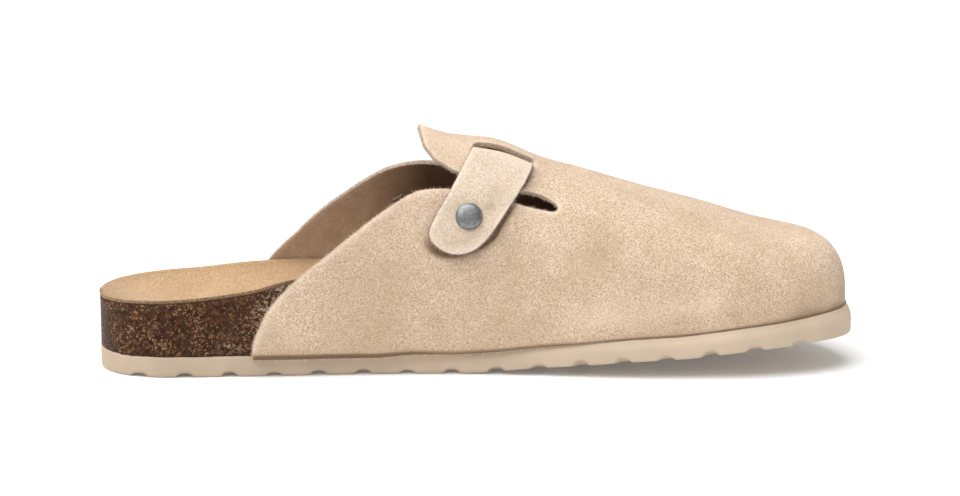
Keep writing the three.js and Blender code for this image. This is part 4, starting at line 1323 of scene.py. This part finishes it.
def outsole_ring(station):
    """Points around the outsole at one station, with how dark each is: dirt and painted shade by how deep in
    a channel it lies, darker towards the heel, and painted shade on the lip under the upper.
    """
    inner, outer, _ = edges_at(station, 0.0, 0.0)
    half = (outer - inner) / 2
    middle = (outer + inner) / 2
    ease = min(EDGE_EASE, half / 3)
    top = sole_top(station)
    toe_start = SOLE_LENGTH - TOE_ROUND
    drawn = station - max(0.0, station - toe_start) * FLARE / TOE_ROUND
    lean = FLARE * PLAN["tuck"](drawn / SOLE_LENGTH)
    top_inner, top_outer, _ = edges_at(drawn, -lean, -FLARE)
    lip = min(LIP_ROUND, (top_outer - top_inner) / 6)
    across = np.linspace(-1, 1, TREAD_POINTS)
    y = middle + across * (half - ease)
    depth = groove_depth_at(station, y)
    low = [(station, a, b) for a, b in zip(y, tread_at(station, across) + depth)]
    edge_depth = groove_depth_at(station, np.array([inner, outer]))
    side_low = tread_edge(station)
    widest = (side_low + top) / 2
    frayed = 0.12 + 0.35 * math.exp(-((station / 13) ** 2))
    long_wave = noise.noise(Vector((station / 9, 0.3, 0)))
    short_wave = noise.noise(Vector((station / 1.8, 7.1, 0)))
    wave = 0.2 * long_wave + frayed * short_wave

    def side(y_low, y_top, sink, sign):
        """Wall from the tread up to the lip."""
        foot = side_low + sink
        made = []
        for angle in np.linspace(0.25, 1, 4) * math.pi / 2:
            eased = foot + EDGE_EASE * (1 - math.cos(angle))
            made.append((station, y_low - sign * ease * (1 - math.sin(angle)), eased))
        for up in (0.25, 0.5, 0.75, 1.0):
            made.append((station, y_low, foot + EDGE_EASE + (widest - foot - EDGE_EASE) * up))
        for up in (0.25, 0.5, 0.75):
            share = up * up
            x = station + (drawn - station) * share
            made.append((x, y_low + (y_top - y_low) * share, widest + (top - LIP_ROUND - widest) * up))
        for angle in np.linspace(0, 1, 5) * math.pi / 2:
            inset = sign * lip * (1 - math.cos(angle))
            made.append((drawn, y_top - inset, top - LIP_ROUND * (1 - math.sin(angle)) + wave))
        return made

    outer_side = side(outer, top_outer, edge_depth[1], 1)
    inner_side = side(inner, top_inner, edge_depth[0], -1)
    inwards = np.linspace(1, -1, 9)[1:-1]
    lid_sides = np.linspace(top_outer - lip, top_inner + lip, 9)[1:-1]
    lid = [(drawn, place, top + wave * abs(share)) for share, place in zip(inwards, lid_sides)]
    ring = low + outer_side + lid + inner_side[::-1]
    # Darker towards the heel, and painted shade on the lip's top in the groove under the upper's foot.
    heel_darkening = 0.34 * float(np.clip(1 - station / 110, 0, 1))
    lid_shade = float(np.clip((station - 50) / 5, 0, 1.2))
    shade = np.concatenate([
        depth / size("groove_depth") + heel_darkening,
        side_shade(len(outer_side), edge_depth[1]) + heel_darkening,
        np.full(len(lid), lid_shade),
        side_shade(len(inner_side), edge_depth[0])[::-1] + heel_darkening,
    ])
    return ring, shade


def side_shade(count, depth):
    """Dirt and painted shade at the foot of the wall, over a channel's end."""
    fade = np.zeros(count)
    fade[:4] = np.linspace(0.8, 0.1, 4) * depth / size("groove_depth")
    return fade


class MULE_OT_footbed(Operator):
    """Cork core with granular sides, and the suede lining over it"""

    bl_idname = "mule.footbed"
    bl_label = "Footbed"

    def execute(self, context):
        end = SOLE_LENGTH + FOOTBED_FACE - TUCK_DEPTH
        front = TOE_ROUND + FOOTBED_FACE - TUCK_DEPTH
        stations = stations_between(-FOOTBED_FACE, end, front, 150, 44, 44)
        self.core(stations)
        self.lining(stations)
        return {"FINISHED"}

    def core(self, stations):
        """Cork core with its granular, slightly pitted skin."""
        depth = LINER_THICKNESS + SEAM
        rings = []
        smears = []
        for station in stations:
            seat = float(sole_top(station)) + SEAM
            top = layer(station, depth, 49)
            sides = []
            for side, rim in ((-1, top[0]), (1, top[-1])):
                ups = np.linspace(0, 1, 15)[:-1]
                heights = seat + (rim[2] - seat) * ups
                y = face_at_height(station, heights, side, FOOTBED_FACE)
                sides.append(np.stack([np.full_like(y, station), y, heights], -1))
            floor = [sides[0][0] + (sides[1][0] - sides[0][0]) * k for k in np.linspace(0, 1, 9)[1:-1]]
            ring = np.vstack([floor, sides[1], top[::-1], sides[0][::-1]])
            rings.append(ring)
            smears.append(self.smear(ring))
        points, faces = loft(rings)
        rough = soft_noise(points, 2.2, 1) * 0.1 + soft_noise(points, 0.9, 2) * 0.06
        inwards = unit(points - [SOLE_LENGTH / 2, 0, 20])
        points = points + inwards * np.minimum(rough, 0)[:, None]
        material = cork_granules("cork", colour("cork"), colour("fleck"))
        piece = new_object("cork_core", points, faces, material, {"smear": np.concatenate(smears)})
        hidden_by(piece, "cork_footbed")

    def smear(self, ring):
        """Share of dried glue near the quarter's rear edge."""
        edge = np.array(INNER_CUT[:9]) * [SOLE_LENGTH, INSTEP_HEIGHT]
        reach = np.interp(ring[:, 2], edge[:, 1], edge[:, 0]) - ring[:, 0]
        beside = np.exp(-((np.maximum(reach - 1, 0) / 4.5) ** 2)) * np.clip((ring[:, 2] - 17) / 6, 0.15, 1)
        spot = np.exp(-(((ring[:, 0] - 49) / 3.5) ** 2) - ((ring[:, 2] - 11) / 4) ** 2)
        return np.maximum(beside, 0.9 * spot) * (ring[:, 2] > 8.5)

    def lining(self, stations):
        """Suede layer with trimmed, rounded edges, darker along its rim, with painted shade towards the far
        quarter.
        """
        rings = []
        shades = []
        face = np.zeros(LINING_POINTS)
        edge = np.ones(len(LINING_RIM))
        raw = np.concatenate([face, edge, face, edge])
        widest_trim = 0.45
        drawn_in = 0.12
        across = np.linspace(-1, 1, LINING_POINTS)
        to_outer = np.clip(np.linspace(-0.6, 1.6, LINING_POINTS), 0, 1)
        for station in stations:
            top = layer(station, 0.0, LINING_POINTS)
            low = layer(station, LINER_THICKNESS, LINING_POINTS)
            width = top[-1][1] - top[0][1]
            trim = min(widest_trim, width / 8)
            for rows, drop in ((top, -drawn_in), (low, drawn_in)):
                rows[0] = rows[0] + [0, trim, 0]
                rows[-1] = rows[-1] - [0, trim, 0]
                rows[0][2] += drop
                rows[-1][2] += drop
            rim = []
            far_rim = []
            for down in LINING_RIM:
                out = [0, trim * math.sin(down * math.pi), 0]
                rim.append((top[-1] * (1 - down) + low[-1] * down) + out)
                far_rim.append((top[0] * down + low[0] * (1 - down)) - out)
            rings.append(np.vstack([top, rim, low[::-1], far_rim]))
            # Darker along the rim, and painted shade on the far side towards the far quarter.
            rim_dark_and_painted_shade = 0.6 * np.abs(across) ** 7 + 0.5 * math.exp(-station / 4) - 0.15
            rim_dark_and_painted_shade += 0.45 * np.clip((station - 52) / 25, 0, 1) * to_outer
            shades.append(np.concatenate([rim_dark_and_painted_shade, np.full(len(raw) - LINING_POINTS, 0.3)]))
        points, faces = loft(rings)
        shade = np.concatenate(shades) + 0.2 * soft_noise(points, 14, 21)
        raw_colour = tinted(colour("lining"), 0.42, 0.36, 0.3)
        material = suede("lining_suede", colour("lining"), raw_colour, colour("lining"), 0.1)
        attributes = {"cut": np.tile(raw, len(rings)), "shade": shade}
        piece = new_object("lining", points, faces, material, attributes)
        add_fuzz(piece, "lining_fuzz", colour("lining"))
        hidden_by(piece, "footbed_liner")


def layer(station, depth, count):
    """Line across a layer of the footbed, from the inner to the outer edge."""
    across = np.linspace(-1, 1, count)
    limits = [
        float(face_at_height(station, bed_height(station, np.float64(side)) - depth, side, FOOTBED_FACE))
        for side in (-1, 1)
    ]
    y = limits[0] + (limits[1] - limits[0]) * (across + 1) / 2
    return np.stack([np.full_like(y, station), y, bed_height(station, across) - depth], -1)


class MULE_OT_upper(Operator):
    """Suede upper with real thickness, slots, slits and rounded raw edges"""

    bl_idname = "mule.upper"
    bl_label = "Upper"

    def execute(self, context):
        even = EvenUpper()
        inner_edge = cut_edge(even, INNER_CUT, -1)
        outer_edge = cut_edge(even, OUTER_CUT, 1)[::-1]
        feet = even.lengths[-1]
        side = even.arounds[0]
        other = even.arounds[-1]
        border = np.vstack([
            inner_edge,
            outer_edge,
            [(outer_edge[-1][0], other), (feet, other), (feet, side), (inner_edge[0][0], side)],
        ])
        holes = [slit_outline(even, -1), slit_outline(even, 1)]
        step = size("pattern_step")
        pattern = cut_pattern(border, holes, step, 0.55 * step)
        material = suede("suede", colour("suede"), colour("cut"), colour("inside"), size("nap"), 1.22)
        piece = leather_sheet(
            "suede_upper",
            pattern,
            even.surface,
            WALL,
            size("cut_bulge"),
            lambda flat: self.relief(even, flat),
            material,
        )
        add_fuzz(piece, "upper_fuzz", colour("suede"))
        hidden_by(piece, "upper")
        return {"FINISHED"}

    def relief(self, even, flat):
        """Creases, the raised bridge and soft unevenness in millimetres, with painted shade and painted light
        on the nap, and painted shade inside.
        """
        spots = np.hstack([flat, np.zeros((len(flat), 1))])
        heights = 0.08 * soft_noise(spots, 34, 3) + 0.05 * soft_noise(spots, 11, 5)
        shade = 0.12 * soft_noise(spots, 18, 9)
        station = np.interp(flat[:, 0], even.lengths, even.stations)
        turn = np.interp(flat[:, 1], even.arounds, even.turns)
        cap = np.hypot((station / SOLE_LENGTH - 0.925) / 0.06, (turn + 0.1) / 0.55)
        heights += size("toe_crown") * np.exp(-(cap**2))
        # Creases: their relief, with the table's painted shade, and painted light below zero.
        for line, width, height, darker in CREASES:
            run = np.vstack([even.flat(at * SOLE_LENGTH, around) for at, around in line])
            near = np.exp(-((away_from(flat, run) / width) ** 2)) * (0.8 + 0.4 * soft_noise(spots, 9, 12))
            heights += height * near
            shade += 0.6 * darker * near
        across, arc = strap_place(even, flat)
        for side, start in ((-1, INNER_SLIT), (1, OUTER_SLIT)):
            into = side * arc - start
            bridge = np.where(into < 0.3, np.exp(-((into / 8.0) ** 2)), 0.0)
            pressed = np.where(into > SLIT_WIDTH - 1, np.exp(-(((into - SLIT_WIDTH) / 7.0) ** 2)), 0.0)
            beside = np.exp(-((across / np.where(across > 0, 14.0, 10.0)) ** 4))
            heights += size("bridge_rise") * bridge * beside - 0.15 * pressed * beside
        over_sole = face_point(station, turn)[:, 2] - section_at(station, OUTER_FACE)[2]
        share = station / SOLE_LENGTH
        to_toe = np.clip((share - 0.8) / 0.14, 0, 1)
        to_heel = np.clip((0.45 - share) / 0.12, 0, 1)
        # Painted shade along the seam where the upper's foot meets the sole, darker and wider towards the
        # heel.
        seam_shade_depth = 1.2 + 0.1 * to_toe + 0.9 * to_heel
        seam_shade_width = 0.7 + 0.3 * to_toe + 0.4 * to_heel
        shade += seam_shade_depth * np.exp(-over_sole / seam_shade_width)
        shade += self.strap_end_shadow(across, arc)
        # Painted shade over the lowest part of the upper, darker towards the sole.
        shade += 0.3 * np.exp(-((over_sole / 17) ** 2))
        # Painted shade inside: the inner face darkens from the tongue forward into the toe, where the inside
        # lies in shade.
        inside_shade = np.clip((share - 0.355) / 0.09, 0, 1)
        return heights, shade, inside_shade, over_sole > 2.5

    def strap_end_shadow(self, across, arc):
        """Painted shadow on the leather just past the strap's round end, most on the toe side."""
        centre = STRAP_START + STRAP_WIDTH / 2
        past_end = np.minimum(arc - centre, 0)
        beside = np.hypot(across, past_end) - STRAP_WIDTH / 2
        weight = np.clip(0.6 + across / 20 - past_end / 26, 0, 1) * (arc < -INNER_SLIT - 4)
        reach = np.interp(-past_end, [0, 8], [0.9, 2.1])
        return 2.0 * weight * np.exp(-((np.maximum(beside - 0.5, 0) / reach) ** 2)) * (beside > -3)


def strap_outline():
    """Strap's flat outline, across and along, with its inner end and a round tail."""
    half = STRAP_WIDTH / 2
    near = spline(STRAP_TIP, 160)
    far = [(half * math.cos(a), TAIL_END - half + half * math.sin(a)) for a in np.linspace(0, math.pi, 40)]
    return np.vstack([near, far])


def hole_outline(along, radius=HOLE_RADIUS, count=28):
    """Round hole on the strap's middle line."""
    angles = np.linspace(0, 2 * math.pi, count, endpoint=False)
    return np.stack([radius * np.cos(angles), along + radius * np.sin(angles)], -1)


class MULE_OT_strap(Operator):
    """Instep strap, under the tongue bridge and through the buckle"""

    bl_idname = "mule.strap"
    bl_label = "Strap"

    def execute(self, context):
        holes = []
        at = LOWER_BAR_ARC + HOLE_PITCH
        while at < TAIL_END - HOLE_PITCH:
            holes.append(hole_outline(at))
            at += HOLE_PITCH
        holes.append(hole_outline(BUCKLE_ARC + PRONG_HOLE_FROM_BAR))
        pattern = cut_pattern(strap_outline(), holes, STRAP_STEP, STRAP_EDGE_STEP)

        def surface(flat):
            return strap_point(flat[:, 0], turn_at(flat[:, 1]), STRAP_LIFT(flat[:, 1]) + STRAP_THICKNESS / 2)

        def relief(flat):
            """Leather pressed in round the rivet, its end and toe edge curled up, with worn places, painted
            light and painted shade.
            """
            across, along = flat[:, 0], flat[:, 1]
            spots = np.hstack([flat, np.full((len(flat), 1), 40.0)])
            press = np.exp(-((np.hypot(across, along + RIVET_ARC) / 6.5) ** 2))
            end_curl = np.clip((-42 - along) / 14, 0, 1) ** 1.5
            edge_curl = 0.6 * np.clip((across - 5) / 6, 0, 1) ** 2
            clear_of_slit = np.clip((-14 - along) / 6, 0, 1)
            curl = (end_curl + edge_curl) * clear_of_slit
            heights = 0.07 * soft_noise(spots, 12, 8) - 0.22 * press + size("tip_curl") * curl
            # Random tone, with painted shade darker towards the riveted end.
            shade = 0.3 * soft_noise(spots, 9, 14) + 0.3 * np.clip((-24 - along) / 14, 0, 1)
            for line, width, darker in STRAP_SMUDGES:
                shade += darker * np.exp(-((away_from(flat, np.array(line)) / width) ** 2))
            nothing = np.zeros(len(flat))
            return heights, shade, nothing, nothing + 1

        # Painted shade: the strap's cut edges and the fibres on them are darkened, as they lie in shadow.
        raw = tinted(colour("cut"), 0.4)
        material = suede("strap_suede", colour("strap"), raw, colour("inside"), size("nap"))
        piece = leather_sheet("strap", pattern, surface, STRAP_THICKNESS, size("cut_bulge"), relief, material)
        add_fuzz(piece, "strap_fuzz", tinted(colour("strap"), 0.75), 0.4)
        hidden_by(piece, "instep_strap")
        return {"FINISHED"}


def turned_form(profile, matrix, sides=72):
    """Points and faces of a form turned about its own axis, from (radius, height) rows."""
    angles = np.linspace(0, 2 * math.pi, sides, endpoint=False)
    rings = [
        [matrix @ Vector((radius * math.cos(a), radius * math.sin(a), height)) for a in angles]
        for radius, height in profile
    ]
    return loft(np.array([[tuple(p) for p in ring] for ring in rings]))


class MULE_OT_rivets(Operator):
    """Domed cap rivets with their posts and washers"""

    bl_idname = "mule.rivets"
    bl_label = "Rivets"

    def execute(self, context):
        metal = satin_metal()
        rows = (
            ("rivet_cap", "strap_rivet", -RIVET_ARC, SEAM + STRAP_THICKNESS, RIVET_HEAD, RIVET_DOME),
            (
                "tab_rivet_cap", "tab_rivet", LOWER_BAR_ARC + TAB_RIVET_AT, SEAM + TAB_THICKNESS,
                TAB_RIVET_HEAD, TAB_RIVET_DOME,
            ),
        )
        for name, node, arc, stack, head, dome in rows:
            points, faces = turned_form(self.profile(stack, head, dome), fastener_frame(arc))
            piece = new_object(name, points, faces, metal)
            hidden_by(piece, node)
        return {"FINISHED"}

    def profile(self, stack, head, dome):
        """Half section from the washer up the post to the dome, as (radius, height) rows."""
        washer_top = -(WALL + 2 * SEAM)
        under = stack + SEAM - 0.15
        rows = [
            (0.05, washer_top - WASHER_THICKNESS),
            (WASHER_RADIUS * 0.85, washer_top - WASHER_THICKNESS),
            (WASHER_RADIUS, washer_top - WASHER_THICKNESS * 0.6),
            (WASHER_RADIUS, washer_top),
            (SHANK_RADIUS, washer_top),
            (SHANK_RADIUS, under),
            (head - 0.3, under),
        ]
        edge = 0.25
        for angle in (0.4, 1.0, 1.57, 2.2):
            rows.append((head - edge + edge * math.sin(angle), under + edge - edge * math.cos(angle)))
        shoulder = under + 0.45
        rise = dome - 0.3
        for k in np.linspace(0, 1, 14):
            angle = k * math.pi / 2
            rows.append(((head - 0.12) * math.cos(angle) ** 0.8 + 0.03, shoulder + rise * math.sin(angle)))
        return rows


def buckle_frame():
    """Buckle's own frame: X from the lower to the upper bar, Y along the bars, Z off the leather."""
    upper = strap_point(0.0, turn_at(BUCKLE_ARC), UPPER_BAR_LIFT)
    lower = strap_point(0.0, turn_at(LOWER_BAR_ARC), BAR_LIFT)
    length = np.linalg.norm(upper - lower)
    along = (upper - lower) / length
    leather = strap_point(0.0, turn_at((BUCKLE_ARC + LOWER_BAR_ARC) / 2), 0.0)
    middle = (upper + lower) / 2
    across = np.zeros(3)
    half = STRAP_WIDTH / 2
    for arc in (BUCKLE_ARC, LOWER_BAR_ARC):
        across += strap_point(half, turn_at(arc), 0.0) - strap_point(-half, turn_at(arc), 0.0)
    across = unit(across - along * np.dot(across, along))
    off = np.cross(along, across)
    if np.dot(off, middle - leather) < 0:
        across, off = -across, -off
    matrix = Matrix((
        (along[0], across[0], off[0], middle[0]),
        (along[1], across[1], off[1], middle[1]),
        (along[2], across[2], off[2], middle[2]),
        (0, 0, 0, 1),
    ))
    return matrix, length


def bar(path, radius, sides, closed, matrix):
    """Points and faces of a round bar along a path, with round ends where it is open."""
    path = np.asarray(path, float)
    if closed:
        tangents = unit(np.roll(path, -1, 0) - np.roll(path, 1, 0))
    else:
        tangents = unit(np.gradient(path, axis=0))
    first = unit(np.cross(tangents, (0.0, 0.0, 1.0)))
    second = np.cross(tangents, first)
    angles = np.linspace(0, 2 * math.pi, sides, endpoint=False)
    rings = path[:, None] + radius * (
        first[:, None] * np.cos(angles)[None, :, None] + second[:, None] * np.sin(angles)[None, :, None]
    )
    if not closed:
        caps = []
        for index, sign in ((0, -1), (-1, 1)):
            end, off, onward = path[index], rings[index] - path[index], sign * tangents[index]
            rows = [end + off * math.cos(a) + onward * radius * math.sin(a) for a in np.linspace(0.2, 1.5, 6)]
            caps.append(rows[::-1] if sign < 0 else rows)
        points, faces = loft(np.concatenate([caps[0], rings, caps[1]]))
    else:
        points, faces = closed_tube(rings)
    return np.array([tuple(matrix @ Vector(point)) for point in points]), faces


class MULE_OT_buckle(Operator):
    """Pin buckle: its frame and its prong"""

    bl_idname = "mule.buckle"
    bl_label = "Buckle"

    def execute(self, context):
        metal = satin_metal()
        matrix, length = buckle_frame()
        half_width = STRAP_WIDTH / 2 + BUCKLE_SPARE + BAR_RADIUS
        corner = 3 * BAR_RADIUS
        path = []
        corners = (
            (length / 2 - corner, half_width - corner, 0),
            (-length / 2 + corner, half_width - corner, 1),
            (-length / 2 + corner, -half_width + corner, 2),
            (length / 2 - corner, -half_width + corner, 3),
        )
        for x, y, start in corners:
            for angle in (start + np.linspace(0, 1, 10)) * math.pi / 2:
                path.append((x + corner * math.cos(angle), y + corner * math.sin(angle), 0.0))
        points, faces = bar(path, BAR_RADIUS, 20, True, matrix)
        piece = new_object("buckle_bars", points, faces, metal)
        hidden_by(piece, "buckle_frame")

        over = BAR_RADIUS + SEAM + PRONG_RADIUS
        rows = [
            (-length / 2 + over, 0.0),
            (-length / 2 * 0.45, over * 0.55),
            (0.0, over * 0.85),
            (length / 2 * 0.55, over),
            (length / 2 + PRONG_OVERRUN, over),
        ]
        line = spline(rows, 40)
        rod = bar([(x, 0.0, z) for x, z in line], PRONG_RADIUS, 16, False, matrix)
        eye = self.eye(length, matrix)
        points = np.vstack([rod[0], eye[0]])
        faces = list(rod[1]) + [tuple(i + len(rod[0]) for i in face) for face in eye[1]]
        piece = new_object("buckle_pin", points, faces, metal)
        hidden_by(piece, "buckle_prong")
        return {"FINISHED"}

    def eye(self, length, matrix):
        """Ring of the prong around the lower bar."""
        inner = BAR_RADIUS + SEAM
        outer = inner + 1.0
        half = PRONG_RADIUS * 1.2
        bevel = 0.3
        section = [
            (inner, -half),
            (outer - bevel, -half),
            (outer, -half + bevel),
            (outer, half - bevel),
            (outer - bevel, half),
            (inner, half),
        ]
        rings = []
        for angle in np.linspace(0, 2 * math.pi, 40, endpoint=False):
            ring = []
            for radius, aside in section:
                place = Vector((-length / 2 + radius * math.cos(angle), aside, radius * math.sin(angle)))
                ring.append(tuple(matrix @ place))
            rings.append(ring)
        return closed_tube(rings)


class MULE_OT_tab(Operator):
    """Anchor tab, from its rivet round the buckle's lower bar and back on itself"""

    bl_idname = "mule.tab"
    bl_label = "Anchor tab"

    def execute(self, context):
        matrix, length = buckle_frame()
        half_thick = TAB_THICKNESS / 2
        radius = BAR_RADIUS + SEAM + half_thick
        free_end = LOWER_BAR_ARC + TAB_LENGTH
        bar_middle = np.array(matrix @ Vector((-length / 2, 0.0, 0.0)))
        along, side, off = (np.array(axis) for axis in matrix.to_3x3().col)
        arcs = np.linspace(free_end, LOWER_BAR_ARC + 0.8, 26)
        angles = np.linspace(-1.35, 2.75, 30)
        rings = []
        raw = []
        across = np.linspace(-1, 1, 13)
        swell = 0.22
        rows = []
        for arc in arcs:
            left = free_end - arc
            half = TAB_WIDTH / 2 * float(rounded(np.clip(1 - left / (TAB_WIDTH / 2), 0, 0.985), 2.2))
            line = strap_point(across * half, turn_at(arc), SEAM + half_thick)
            out = unit(strap_point(across * half, turn_at(arc), SEAM + half_thick + 1.0) - line)
            rows.append((line, out))
        for angle in angles:
            middle = bar_middle + radius * (along * math.cos(angle) + off * math.sin(angle))
            out = -(along * math.cos(angle) + off * math.sin(angle))
            line = middle + side * (across * TAB_WIDTH / 2)[:, None]
            rows.append((line, np.tile(out, (len(across), 1))))
        back = rows[20][0] + rows[20][1] * TAB_THICKNESS * 0.8
        rows.append((back, -rows[20][1]))
        if np.dot(rows[3][0][-1] - rows[3][0][0], side) < 0:
            rows = [
                (line[::-1], out[::-1]) if index < len(arcs) else (line, out)
                for index, (line, out) in enumerate(rows)
            ]
        for line, out in rows:
            reach = unit((line[-1] - line[0])[None])[0]
            top = line + out * half_thick
            low = line - out * half_thick
            right = [line[-1] + reach * swell + out[-1] * half_thick * k for k in (0.5, 0.0, -0.5)]
            left = [line[0] - reach * swell + out[0] * half_thick * k for k in (-0.5, 0.0, 0.5)]
            rings.append(np.vstack([top, right, low[::-1], left]))
            raw.append(np.concatenate([np.zeros(13), np.ones(3), np.zeros(13), np.ones(3)]))
        points, faces = loft(rings)
        material = bpy.data.materials.get("strap_suede")
        piece = new_object("tab", points, faces, material, {"cut": np.concatenate(raw)})
        hidden_by(piece, "anchor_tab")
        return {"FINISHED"}


class MULE_OT_stitch(Operator):
    """Short bar of thread on the inner face of the outer quarter"""

    bl_idname = "mule.stitch"
    bl_label = "Inner stitch"

    def execute(self, context):
        ends = [face_point(at * SOLE_LENGTH, turn, SEAM) for at, turn in ((0.3965, 0.672), (0.4075, 0.649))]
        middle = (ends[0] + ends[1]) / 2
        inwards = unit((face_point(0.402 * SOLE_LENGTH, 0.6605, SEAM - 1) - middle)[None])[0]
        lift = 0.55
        rows = [
            ends[0] - inwards * 0.3,
            ends[0] + inwards * lift * 0.8,
            middle + inwards * lift,
            ends[1] + inwards * lift * 0.8,
            ends[1] - inwards * 0.3,
        ]
        points, faces = bar(spline(rows, 28), 0.52, 12, False, Matrix.Identity(4))
        finish = Finish("thread", roughness=0.8, specular=0.2)
        twist = finish.noise(0.6, detail=2, stretch=(1, 1, 2))
        finish.set("Base Color", finish.mix(twist, (0.2, 0.15, 0.11), (0.36, 0.29, 0.23)))
        finish.set("Normal", finish.bump(twist, 0.15, 0.8))
        piece = new_object("inner_stitch", points, faces, finish.material)
        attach(piece, "root")
        return {"FINISHED"}


class MULE_OT_stage(Operator):
    """Pale floor, soft lights and the camera"""

    bl_idname = "mule.stage"
    bl_label = "Stage"

    def execute(self, context):
        self.floor()
        self.lights()
        self.camera()
        settings = context.scene.view_settings
        settings.view_transform = "Standard"
        settings.look = "None"
        return {"FINISHED"}

    def floor(self):
        finish = Finish("pale_floor", roughness=0.6, specular=0.2)
        finish.set("Base Color", (0.85, 0.85, 0.85))
        finish.set("Emission Color", (1.0, 1.0, 1.0))
        finish.set("Emission Strength", 0.1)
        mesh = bpy.data.meshes.new("floor")
        reach = 6.0
        corners = [(-reach, -reach, 0), (reach, -reach, 0), (reach, reach, 0), (-reach, reach, 0)]
        mesh.from_pydata(corners, [], [(0, 1, 2, 3)])
        mesh.materials.append(finish.material)
        floor = bpy.data.objects.new("floor", mesh)
        bpy.context.collection.objects.link(floor)

    def lights(self):
        world = bpy.data.worlds.new("studio")
        world.use_nodes = True
        background = world.node_tree.nodes["Background"]
        background.inputs["Color"].default_value = (1.0, 1.0, 1.0, 1.0)
        background.inputs["Strength"].default_value = 0.48
        bpy.context.scene.world = world
        key = bpy.data.lights.new("broad_top_light", "SUN")
        key.energy = 3.85
        key.angle = math.radians(72)
        lamp = bpy.data.objects.new("broad_top_light", key)
        lamp.location = (-0.36, -0.12, 0.92)
        lamp.rotation_euler = lamp.location.to_track_quat("Z", "Y").to_euler()
        bpy.context.collection.objects.link(lamp)

    def camera(self):
        focal_px = 2300.0
        width_px = 960.0
        sensor = 36.0
        place = to_frame([82.83, -851.88, 197.25])
        yaw = math.radians(4.0)
        pitch = math.radians(10.39)
        lens = bpy.data.cameras.new("camera")
        lens.sensor_width = sensor
        lens.lens = focal_px / width_px * sensor
        lens.clip_start = 0.05
        camera = bpy.data.objects.new("camera", lens)
        camera.location = place
        camera.rotation_euler = (math.pi / 2 - pitch, 0.0, -yaw)
        bpy.context.collection.objects.link(camera)
        bpy.context.scene.camera = camera


OPERATORS = (
    MULE_OT_outsole,
    MULE_OT_footbed,
    MULE_OT_upper,
    MULE_OT_strap,
    MULE_OT_rivets,
    MULE_OT_buckle,
    MULE_OT_tab,
    MULE_OT_stitch,
    MULE_OT_stage,
)


class MULE_PT_panel(Panel):
    """Lists the shoe's pieces"""

    bl_idname = "MULE_PT_panel"
    bl_label = "Mule"
    bl_space_type = "VIEW_3D"
    bl_region_type = "UI"
    bl_category = "Mule"

    def draw(self, context):
        layout = self.layout
        for operator in OPERATORS:
            layout.operator(operator.bl_idname)
        for group in (context.scene.mule_sizes, context.scene.mule_colours):
            for name in group.__annotations__:
                layout.prop(group, name)


CLASSES = (MuleSizes, MuleColours, *OPERATORS, MULE_PT_panel)


def register():
    for each in CLASSES:
        bpy.utils.register_class(each)
    bpy.types.Scene.mule_sizes = PointerProperty(type=MuleSizes)
    bpy.types.Scene.mule_colours = PointerProperty(type=MuleColours)


def unregister():
    del bpy.types.Scene.mule_colours
    del bpy.types.Scene.mule_sizes
    for each in reversed(CLASSES):
        bpy.utils.unregister_class(each)


def main():
    register()
    for operator in OPERATORS:
        group, name = operator.bl_idname.split(".")
        getattr(getattr(bpy.ops, group), name)()


if __name__ == "__main__":
    main()
